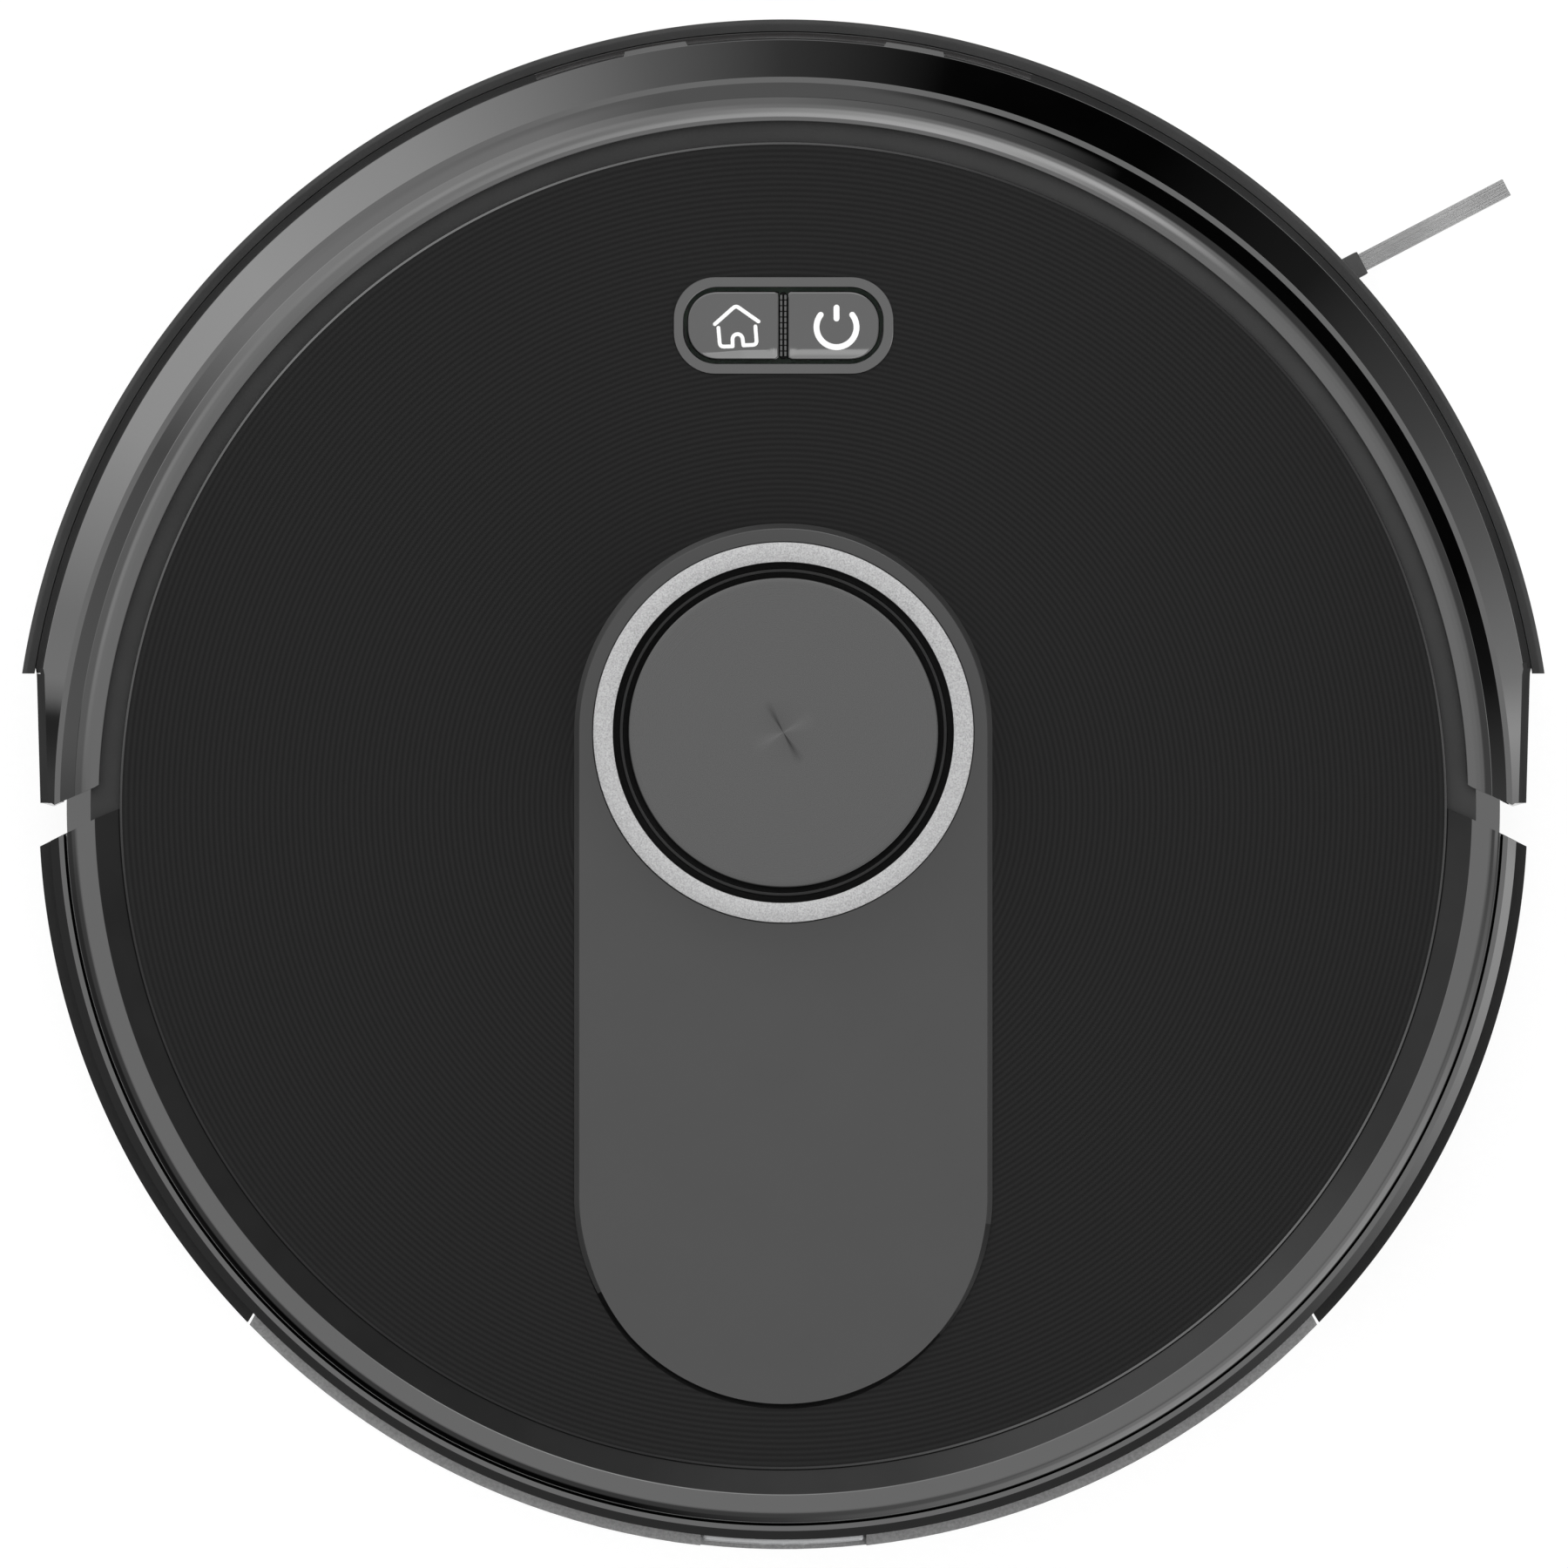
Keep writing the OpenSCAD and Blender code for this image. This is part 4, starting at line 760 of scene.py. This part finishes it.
def make_deck():
    """The raised plate: straight sides between two round ends, and a hole for the turret."""

    def outline(d):
        rear = [polar(DECK_R - d * (1 - 0.6 * steep(a)), radians(a), 0, REAR_Y)
                for a in np.linspace(180, 360, 145)]
        return arc(0, TURRET_Y, DECK_R - d, 0, 180, 72) + rear
    bm = bmesh.new()

    def ring(points):
        return [bm.verts.new((x * MM, (y + AXIS_Y) * MM, z * MM)) for x, y, z in points]
    # The edge by inset and height, then the hole by radius and height
    loops = [ring([(x, y, z) for x, y in outline(d)]) for d, z in (
        (0, 76.95), (0, 78.09), (0.9, 78.678), (0.98, 78.73), (1.04, 78.76), (1.12, 78.79),
        (1.2, DECK_Z), (1.28, DECK_Z))]
    hole = [ring([(*polar(r, a, 0, TURRET_Y), z) for a in turns(144)]) for r, z in (
        (42.36, DECK_Z), (42.26, DECK_Z), (42.16, 78.76), (42.11, 78.6), (42.1, 77.35))]
    for a, b in [*zip(loops, loops[1:]), *zip(hole, hole[1:])]:
        for i in range(len(a)):
            j = (i + 1) % len(a)
            bm.faces.new((a[i], a[j], b[j], b[i]))
    edges = [bm.edges.get((p[i], p[(i + 1) % len(p)])) for p in (loops[-1], hole[0])
             for i in range(len(p))]
    bmesh.ops.triangle_fill(bm, use_beauty=True, use_dissolve=False, edges=edges, normal=(0, 0, 1))
    bmesh.ops.recalc_face_normals(bm, faces=bm.faces)
    me = bpy.data.meshes.new("deck_plate")
    bm.to_mesh(me)
    bm.free()
    up = [p for p in me.polygons if abs(p.normal.z) > 0.99 and p.center.z > (DECK_Z - 0.005) * MM]
    if up[0].normal.z < 0:
        me.flip_normals()
    paint(me, ["deck", "recess", "deck_edge", "deck_edge_shaded"])
    # Edge faces: round the rear end matte black, a painted shadow under the deck's edge; at the
    # rear right the darker edge grey, painted shade; elsewhere the edge grey
    for p in me.polygons:
        x, y = p.center.x / MM, p.center.y / MM - AXIS_Y - REAR_Y
        if p.normal.z < 0.97 and max(abs(x), hypot(x, y - DECK_LEN)) > 44.5:
            a = degrees(atan2(y, x)) % 360
            p.material_index = 1 if 208 < a < 319 else 3 if 319 < a < 352 else 2
    place("deck_plate", me, "body", "deck_panel", 28)


def make_shadow_strip():
    """A painted shadow behind the deck's rear end: a thin crescent of matte black, its top just
    above the cover.
    """
    rings = []
    for deg in np.linspace(200, 314, 115):
        inner, a = 46.2, radians(deg)
        outer = DECK_R + 0.04 + 0.6 * steep(deg) * interp(deg, [290, 314], [1, 0])
        ring = []
        for r, drop in ((inner, 0.5), (outer, 0.5), (outer, 0.0), (inner, 0.0)):
            x, y = polar(r, a, 0, REAR_Y)
            ring.append((x, y, cover_z(hypot(x, y)) + 0.02 - drop))
        rings.append(ring)
    solid("deck_shadow_strip", loft(rings), "recess", "body", "deck_panel", 40)


# ---- turret


def make_turret():
    c = (0, TURRET_Y)
    base = fillet([(38.8, 73.0), (41.6, 73.0), (41.6, 83.0, 0.3), (38.8, 83.0, 0.3)], 3)
    post = [(39.2, 82.8), (41.2, 82.8), (41.2, 91.2), (39.2, 91.2)]
    roof = fillet([(0.8, 91.0), (41.6, 91.0, 0.3), (41.6, 93.4), (37.66, 93.4),
                   (36.3, 93.4, 0.05), (36.15, 93.9, 0.05), (35.5, 93.9, 0.05),
                   (35.35, 93.4, 0.05), (0.8, 93.4)], 3)
    parts = [revolve(base, 240, c)]
    parts += [wedge(post, 12, a - 6, a + 6, c) for a in (30, 150, 270)]
    parts.append(revolve(roof, 240, c))

    # The roof's top inside the trim, round the ridge, is matte black: painted shade in the gap
    # between the cap and the trim
    def part_of(_, x, y, z):
        r = hypot(x, y - TURRET_Y)
        return 0 if z < 92 or r > 37.9 else 2 if abs(r - 35.82) < 0.5 else 1
    solid("turret_shell", join(parts), ["satin", "recess", "ridge"], "body", "turret_housing",
          35, pick=part_of)
    ring = fillet([(37.7, 93.5), (42.08, 93.5, 0.2), (42.08, 96.0, 0.14), (37.7, 96.0, 0.1)], 4)
    solid("turret_trim", revolve(ring, 288, c), "silver", "body", "turret_ring",
          40)
    cap = [(r, 95.6) for r in (0, *np.linspace(0.4, 33.0, 16), 33.9)]
    cap += [(34.05, 95.59), (34.18, 95.54), (34.26, 95.46), (34.3, 95.35), (34.3, 93.5), (0, 93.5)]
    solid("turret_disc", disc(cap, 288, c), "spun", "body", "turret_cap", 40)


# ---- buttons


def along(points, count=None, step=0.15):
    """Points evenly spaced along a line: count of them, or one for each step."""
    p = np.array(points, float)
    s = np.concatenate([[0], np.cumsum(np.linalg.norm(np.diff(p, axis=0), axis=1))])
    at = np.linspace(0, s[-1], count or max(2, int(s[-1] / step)))
    return [tuple(np.interp(u, s, column) for column in p.T) for u in at]


def edge_rect(x0, x1, y0, y1, radii):
    """Rounded rectangle with its straight sides cut up too, so that insets match."""
    steps, pitch = 10, 0.6
    corners = rounded_rect(x0, x1, y0, y1, radii, steps)
    out, k = [], steps + 1
    for c in range(4):
        pts = corners[c * k:(c + 1) * k]
        (xa, ya), (xb, yb) = pts[-1], corners[((c + 1) % 4) * k]
        out += pts
        cuts = max(1, round((y1 - y0 if c % 2 else x1 - x0) / pitch))
        out += [(xa + (xb - xa) * s / cuts, ya + (yb - ya) * s / cuts) for s in range(1, cuts)]
    return out


def make_bezel():
    rings = [flat_rect(w / 2, d / 2, r, z, 14) for w, d, r, z in (
        (*BEZEL, 73.6), (*BEZEL, 77.75), (48.62, 21.52, 9.26, 77.9), (48.4, 21.3, 9.15, 78.0),
        (44.5, 17.2, 7.55, 78.0), (44.28, 16.98, 7.44, 77.92), (44.2, 16.9, 7.4, 77.8),
        (44.2, 16.9, 7.4, 73.6))]
    # Its inner wall round the caps is matte black: painted shade in the gap between the frame and
    # the caps
    solid("button_frame", loft(rings, wrap=True), ["gloss", "recess"], "body", "button_bezel",
          30, BUTTON_Y,
          pick=lambda r, x, y, z: int(z < 77.7 and abs(x) < 22.3 and abs(y - BUTTON_Y) < 8.7))


def make_cap(button, side):
    """A button's cap, whose near edge curls up as in the photo, on its stem."""
    insets = [0, 0, 0.04, 0.12, 0.24, 0.38, *np.arange(0.55, 3.0, 0.15), 3.6, 4.5, 5.5, 6.4]
    heights = [75.0, 77.4, 77.6, 77.72, 77.79, 77.8]
    rings = []
    for i, d in enumerate(insets):
        big, small = 6.6 - d, 0.35 - 0.3 * min(d, 1)
        x0, x1, radii = ((-21.25, -0.97, (big, small, small, big)) if side < 0 else
                         (0.97, 21.25, (small, big, big, small)))
        ring = []
        for x, y in edge_rect(x0 + d, x1 - d, -7.6 + d, 7.6 - d, radii):
            lift = 0.0
            if i and side < 0:
                edge = interp(x, [-20, -15, -9, -1], [-6.6, -6.0, -5.5, -5.4])
                lift = 0.075 * max(0.0, edge - y)
            elif i:
                lift = 0.026 * max(0.0, -4.8 - y) ** 2
            ring.append((x, y, heights[min(i, 5)] + lift))
        rings.append(ring)
    count = min(map(len, rings))
    rings = [r if len(r) == count else along(r + r[:1], count + 1)[:-1] for r in rings]
    stem = revolve([(0.01, 69.0), (2.5, 69.0), (2.5, 76), (0.01, 76)], 32, (side * 11, 0))
    # Below 77.3 mm its side and its stem are matte black: painted shade in the gap round the cap
    solid(button + "_cap", join([loft(rings), stem]), ["cap", "recess"], button + "_button",
          button + "_button", 60, BUTTON_Y, pick=lambda r, x, y, z: int(z < 77.3))


def stroke(points, width, z0, z1):
    """A raised flat line with round ends."""
    p = np.array(along(points))
    t = np.gradient(p, axis=0)
    t /= np.linalg.norm(t, axis=1)[:, None]
    n = np.stack([-t[:, 1], t[:, 0]], 1) * width / 2

    def end(at, side):
        a = atan2(side[1], side[0])
        return [polar(width / 2, a + s, *at) for s in np.linspace(pi, 0, 9)[1:-1]]
    k, round_end = len(p), end(p[-1], -n[-1])
    e = len(round_end)
    outline = [*(p + n).tolist(), *round_end, *(p - n)[::-1].tolist(), *end(p[0], n[0])]
    m = len(outline)
    faces = [(i, (i + 1) % m, m + (i + 1) % m, m + i) for i in range(m)]
    # Both flat sides as strips, so that a curved line stays whole
    for base in (0, m):
        back = base + k + e  # first point of the line's other side
        faces += [(base + i, base + i + 1, back + k - 2 - i, back + k - 1 - i)
                  for i in range(k - 1)]
        faces += [tuple(range(base + k - 1, back + 1)), (*range(back + k - 1, back + k + e), base)]
    return [(x, y, z) for z in (z0, z1) for x, y in outline], faces


def make_icons():
    """The house and the power sign, inlaid in the caps."""
    z0, z1 = 77.78, 77.83
    roof = fillet([(-15.15, 0.31), (-10.52, 4.42, 1.0), (-5.50, 0.90)], 8, False)
    left = fillet([(-14.37, -0.51), (-14.02, -4.68, 0.9), (-11.22, -4.62)], 6, False)
    arch = [(-11.22, -4.62)] + arc(-10.13, -3.02, 1.12, 180, 0, 10) + [(-8.82, -4.38)]
    right = fillet([(-8.82, -4.38), (-5.88, -4.25, 0.9), (-6.18, -0.21)], 6, False)
    parts = [stroke(q, 0.84, z0, z1 + 0.004 * i) for i, q in enumerate((roof, left, arch, right))]
    solid("home_icon", join(parts), "icon", "home_button", sharp=30, y=BUTTON_Y)
    ring = arc(11.77, -0.36, 4.43, 90 + 52, 90 + 360 - 52, 60)
    bar = [(11.77, 1.55), (11.77, 3.97)]
    parts = [stroke(q, 1.3, z0, z1) for q in (ring, bar)]
    solid("power_icon", join(parts), "icon", "power_button", sharp=30, y=BUTTON_Y)


def make_divider():
    """A bar between the buttons, with two columns of cells beside its middle line."""
    parts = [loft([flat_rect(0.87 - d, 7.4 - d, 0.8 - d, z, 8)
                   for d, z in ((0, 70), (0, 77.3), (0.1, 77.4))])]
    rows = np.linspace(-6.9, 6.9, 12)
    for side in (-1, 1):
        for a, b in zip(rows, rows[1:]):
            parts.append(loft([
                flat_rect(0.295 - d, (b - a) / 2 - 0.06 - d, 0.1, z, 3, side * 0.465, (a + b) / 2)
                for d, z in ((0, 77.3), (0, 77.62), (0.06, 77.7))]))
    solid("divider_cells", join(parts), ["recess", "divider"], "body", "button_divider",
          30, BUTTON_Y, pick=lambda r, x, y, z: int(z > 77.42))


# ---- brushes


def make_side_brush():
    """A hub with three arms, and a flat bunch of filaments held in each."""
    hub = (93.6, 102.4)
    filaments, spider = [], []
    axes = [(np.array([cos(a), sin(a)]), np.array([-sin(a), cos(a)]))
            for a in np.radians([27.6, 147.6, 267.6])]

    def at(axis, r, w):
        """The point at distance r along an arm and w beside it."""
        return hub + axis[0] * r + axis[1] * w
    columns, layers, root = 26, 5, 37.5
    for axis in axes:
        for c in range(columns):
            for k in range(layers):
                u = -2 + 4 * (c + 0.5) / columns + rng.normal(0, 0.02)
                h = (k + 0.5) / layers - 0.5
                tip = 76 - abs(rng.normal(0, 0.12)) - 0.02
                sway = rng.normal(0, 0.05)
                path = []
                for t in np.linspace(0, 1, 6):
                    r = root + (tip - root) * t
                    lo, hi = (interp(r, [39.7, 76], ends) for ends in ((5.95, 1.05), (7.85, 2.35)))
                    z = (lo + hi) / 2 + h * (hi - lo) * 0.85
                    path.append((*at(axis, r, u + sway * t * t), z))
                filaments.append(tube(path, [0.1, 0.1, 0.1, 0.095, 0.09, 0.08], 5))
    solid("side_filaments", join(filaments), "bristle", "side_brush", "side_brush_bristles",
          80)
    # Each arm is a rounded bar with a gripping slit near its end
    for axis in axes:
        rings = []
        for r, e in ((6, 0.03), (38.9, 0.03), (39.5, 0.09), (39.7, 0.18)):
            sec = rounded_rect(-2.8 + e, 2.8 - e, 5.6 + e, 8.2 - e, 0.45, 4)
            rings.append([(*at(axis, r, w), z) for w, z in sec])
        slit = [(-1.6, 8.1), (1.6, 8.1), (1.5, 8.26), (-1.5, 8.26)]
        spider += [loft(rings), loft([[(*at(axis, r, w), z) for w, z in slit]
                                      for r in (36.5, 36.9)])]
    middle = fillet([(0.01, 10.6), (12.6, 10.6, 0.6), (13.5, 9.6, 0.5), (13.5, 5.0, 0.6),
                     (3.4, 5.0, 0.3), (3.4, 6.5), (0.01, 6.5)], 4)
    spider.append(revolve(middle, 96, hub))
    solid("side_brush_spider", join(spider), "arm", "side_brush", "side_brush_hub",
          35)


def make_main_brush():
    """Six spiral rows, each a V: rubber blades and bristle tufts by turns."""
    y0, z0, half = -62.0, 20.5, 80.5

    def angle(row, x):
        return radians(60 * row + 26 * (1 - abs(x) / half))
    blades, tufts = [], []
    edge = [(7.6, 1.1), (10, 0.8), (15, 0.62), (19.4, 0.5), (19.75, 0.28)]
    sec = edge + [(r, -w) for r, w in edge[::-1]]
    for row in (0, 2, 4):
        rings = []
        for x in np.linspace(-half, half, 121):
            a, wave = angle(row, x), 0.25 * sin(x * 0.9)
            ring = []
            for r, w in sec:
                q = w + wave * max(0, (r - 12) / 8)
                ring.append((x, y0 + r * cos(a) - q * sin(a), z0 + r * sin(a) + q * cos(a)))
            rings.append(ring)
        blades.append(loft(rings))
    solid("brush_blades", join(blades), "blade", "main_brush", "brush_bristles", 40)
    for row in (1, 3, 5):
        for x in np.arange(-79, 79.1, 2.6):
            for _ in range(11):
                dx, da = rng.normal(0, 0.45), rng.normal(0, 0.018)
                lean, lx = rng.normal(0, 0.05), rng.normal(0, 0.5)
                tip = 19.8 - abs(rng.normal(0, 0.25))
                path = []
                for t in (0, 0.55, 1):
                    y, z = polar(7.7 + (tip - 7.7) * t, angle(row, x) + da + lean * t * t, y0, z0)
                    path.append((x + dx + lx * t, y, z))
                tufts.append(tube(path, [0.13, 0.12, 0.09], 4))
    solid("brush_tufts", join(tufts), "tuft", "main_brush", "brush_bristles", 80)


# ---- springs and release button


def coil(r, wire, length, count, at):
    """A compression spring with closed ends. at(x, y, z) puts its points in place."""
    t = np.linspace(0, 1, int(count * 28) + 1)
    ends = np.clip(np.minimum(t, 1 - t) * count, 0, 1) ** 0.35
    z = wire + (length - 2 * wire) * t
    z = np.where(t < 0.5, z * ends, length - (length - z) * ends)
    z = np.clip(z, wire, length - wire)
    return tube([at(*polar(r, a), w) for a, w in zip(2 * pi * count * t, z)], wire, 8)


def make_springs():
    for name, side in (("right_wheel_spring", 1), ("left_wheel_spring", -1)):
        shape = coil(3.6, 0.6, 16.0, 6, lambda x, y, z: (side * 101.25 + x, 4 + y, 52.2 + z))
        solid(name + "_coil", shape, "steel", "body", name, 60)
    parts = []
    for deg in (75, 105):
        dx, dy = polar(1, radians(deg))
        parts.append(coil(3.0, 0.5, 7.4, 5, lambda x, y, z: (
            dx * (157.8 + z) - dy * x, dy * (157.8 + z) + dx * x, 40 + y)))
    solid("bumper_spring_coils", join(parts), "steel", "body", "bumper_springs", 60)


def make_tank_button():
    """A curved bar set in the tank's rear wall, with three shallow grip ribs."""
    half = degrees(asin(18 / 163.2))
    rings = []
    for t in np.linspace(-1, 1, 61):
        e = max(0.0, (abs(t) - 0.985) / 0.015) * 0.4
        rib = max(0.25 * max(0.0, 1 - abs(t - c) / 0.035) for c in (-0.25, 0, 0.25))
        sec = rounded_rect(162.4, 163.98 - e - 0.25 + rib, 42.6 + e, 59.7 - e, 0.3, 4)
        rings += spin(sec, [radians(270 + half * t)])
    solid("tank_release", loft(rings), "button", "tank_button", "tank_button", 40)


# ---- all pieces

make_bumper()
make_strip()
make_window()
make_brows()
make_top_ring()
make_rear_shell()
make_cover()
make_deck()
make_shadow_strip()
make_turret()
make_bezel()
make_cap("home", -1)
make_cap("power", 1)
make_icons()
make_divider()
make_side_brush()
make_main_brush()
make_springs()
make_tank_button()

# CAD nodes that keep their own shape: material, width of the rounding of their edges, and names
ROUNDED = [
    ("chassis", 0.35, "chassis"), ("chassis", 0.3, "battery_door"), ("strip", 0.4, "brush_guard"),
    ("tank", 0.4, "tank_body"), ("chassis", 0.25, "tank_lid"),
    ("chassis", 0.5, "left_wheel_arm", "right_wheel_arm"),
    ("hub", 0.35, "left_wheel_hub", "right_wheel_hub"),
    ("tyre", 0.3, "left_wheel_tyre", "right_wheel_tyre"), ("hub", 0.35, "caster_fork"),
    ("tyre", 0.3, "caster_wheel"), ("contact", 0.25, "charging_contacts"),
    ("window", 0.2, "cliff_windows"), ("steel", 0.12, "case_screws", "side_brush_screw"),
    ("orange", 0.3, "brush_core"), ("orange", 0.2, "brush_bearing"),
    ("chassis", 0.4, "fan_housing"), ("chassis", 0.35, "brush_gearbox"),
    ("chassis", 0.3, "lidar_base"), ("recess", 0.3, "lidar_rotor"), ("wrap", 0.6, "battery_pack"),
    ("board", 0.1, "main_board", "button_board"), ("chassis", 0.2, "bumper_switches"),
    ("hub", 0.15, "impeller"), ("steel", 0.3, "lidar_motor", "fan_motor", "brush_motor"),
    ("steel", 0.4, "side_brush_motor"), ("steel", 0.2, "wheel_arm_pins"),
    ("steel", 0.15, "caster_pin"), ("felt", 0.0, "tank_filter"), ("white", 0.0, "brush_gear"),
    ("brass", 0.0, "brush_pinion", "lidar_pulley"), ("tyre", 0.0, "lidar_belt"),
]
for kind, width, *names in ROUNDED:
    for name in names:
        refine(name, kind, width)

# ---- floor, light and camera

scene.view_settings.view_transform = "Standard"
scene.view_settings.look = "None"


def make_floor():
    """A plain pale floor, which can't be seen from below."""
    s, z = 60.0, -0.0002
    me = bpy.data.meshes.new("floor")
    me.from_pydata([(-s, -s, z), (s, -s, z), (s, s, z), (-s, s, z)], [], [(0, 1, 2, 3)])
    o = add("floor", me)
    m, nt, bsdf = new_material("floor_white")
    tone = ramp(nt, noise(nt, 800, 2), 0.3, 0.7, (0.19, 0.19, 0.19), (0.21, 0.21, 0.21))
    fill(nt, bsdf, {"Base Color": tone, "Roughness": 0.9, LEVEL: 0.0,
                    "Emission Color": (1, 1, 1, 1), "Emission Strength": 0.86})
    mix = node(nt, "MixShader", {"Fac": node(nt, "NewGeometry", out="Backfacing"),
                                 1: bsdf.outputs["BSDF"], 2: node(nt, "BsdfTransparent")})
    fill(nt, nt.nodes["Material Output"], {"Surface": mix})
    me.materials.append(m)


ZENITH = 2.1  # brightness overhead
# Bands of the dome from overhead to below the horizon: the polar angles over which each one takes
# over from the last, then its brightness round the horizon as (degrees, share of the zenith's)
DOME = [
    (0, 0, [(0, 1.0)]),
    (2, 4.4, [(0, 1.0), (58, 1.0), (66, 1.8), (75, 2.7), (90, 2.3), (100, 1.85), (110, 1.58),
         (120, 1.25), (140, 1.02), (150, 1.0)]),
    (8, 13, [(0, 0.92), (30, 0.92), (48, 0.95), (60, 2.75), (75, 2.25), (90, 1.62), (100, 1.22),
         (110, 1.1), (120, 1.2), (135, 1.12), (150, 1.08), (175, 1.0), (188, 0.8), (255, 0.75),
         (285, 0.85), (315, 0.95), (345, 0.85)]),
    (16, 24, [(0, 0.82), (10, 0.78), (45, 0.72), (60, 1.25), (75, 1.02), (90, 1.04), (100, 1.26),
         (110, 1.53), (120, 1.73), (135, 1.38), (165, 1.34), (175, 1.05), (188, 0.34),
         (255, 0.24), (285, 0.5), (315, 0.85), (345, 0.5)]),
    (28, 37, [(0, 0.33), (30, 0.28), (60, 0.22), (75, 0.45), (90, 0.88), (100, 0.86),
         (110, 1.38), (137, 1.37), (150, 0.72), (175, 0.7), (186, 0.29), (255, 0.23),
         (270, 0.31), (285, 0.5), (300, 1.1), (325, 1.12), (345, 0.55)]),
    (49, 57, [(0, 1.2), (6, 1.87), (10, 1.13), (20, 0.64), (30, 0.34), (45, 0.06), (60, 0.0),
         (77, 0.0), (90, 0.21), (100, 0.62), (110, 1.21), (120, 1.73), (135, 2.05), (150, 1.9),
         (165, 1.08), (171, 1.15), (172.8, 0.1), (175, 0.12), (178, 0.26), (190, 0.14),
         (210, 0.04), (225, 0.0), (257, 0.0), (270, 0.25), (285, 0.85), (300, 1.5), (325, 1.65),
         (335, 1.35), (345, 0.8), (354, 0.6)]),
    (62, 68, [(0, 0.25), (10, 0.03), (20, 0.0), (62, 0.0), (74, 0.5), (100, 0.56), (110, 1.04),
         (137, 1.06), (150, 0.4), (175, 0.54), (185, 0.18), (205, 0.1), (225, 0.02), (257, 0.0),
         (270, 0.19), (285, 0.8), (300, 1.6), (322, 1.75), (335, 1.3), (345, 0.68), (355, 0.3)]),
    (71, 75, [(0, 0.25), (10, 0.03), (20, 0.0), (74, 0.0), (84, 0.5), (100, 0.56), (110, 0.8),
         (137, 1.06), (150, 0.4), (175, 0.54), (185, 0.18), (225, 0.1), (285, 0.2), (300, 0.3),
         (322, 0.6), (335, 1.1), (345, 0.9), (355, 0.5)]),
    (77, 84, [(0, 1.3), (10, 0.4), (60, 0.1), (100, 0.3), (135, 0.5), (180, 0.15), (300, 0.15),
         (315, 0.28), (325, 0.57), (335, 1.06), (345, 1.55), (355, 1.75)]),
    (92, 96, [(0, 0.42)]),
]


def world_light():
    """A soft studio dome: bright overhead, with broad soft panels lower down on the left, the rear
    and the right, and a dark gap between them."""
    scene.world = bpy.data.worlds.new("studio")
    scene.world.use_nodes = True
    nt = scene.world.node_tree
    nt.nodes.clear()
    direction = node(nt, "TexCoord", out="Generated")
    x, y, z = node(nt, "SeparateXYZ", {"Vector": direction}).node.outputs

    def op(kind, *values):
        return node(nt, "Math", enumerate(values), operation=kind)

    turn = op("FRACT", op("ADD", op("DIVIDE", op("ARCTAN2", y, x), 2 * pi), 1.0))
    polar_angle = op("DIVIDE", op("ARCCOSINE", op("MINIMUM", op("MAXIMUM", z, -1.0), 1.0)),
                     pi / 180)

    def by_turn(stops):
        """Brightness round the horizon, from (degrees, value) pairs."""
        top = max(v for _, v in stops)
        stops = [*stops, (360, stops[0][1])]
        grey = grey_ramp(nt, turn, [(d / 360, v / top) for d, v in stops])
        return op("MULTIPLY", grey, top)

    value = by_turn(DOME[0][2])
    for start, end, stops in DOME[1:]:
        share = node(nt, "MapRange", {"Value": polar_angle, "From Min": start, "From Max": end},
                     interpolation_type="SMOOTHSTEP")
        value = op("ADD", op("MULTIPLY", op("SUBTRACT", 1.0, share), value),
                   op("MULTIPLY", share, by_turn(stops)))
    sky = node(nt, "Background", {"Strength": op("MULTIPLY", value, ZENITH)})
    node(nt, "OutputWorld", {"Surface": sky})


world_light()
make_floor()

camera = bpy.data.cameras.new("camera")
camera.lens = 1607.5
camera.clip_start, camera.clip_end = 0.1, 200
scene.camera = add("camera", camera)
scene.camera.location = (0.00015, 0.0001, 15.578)
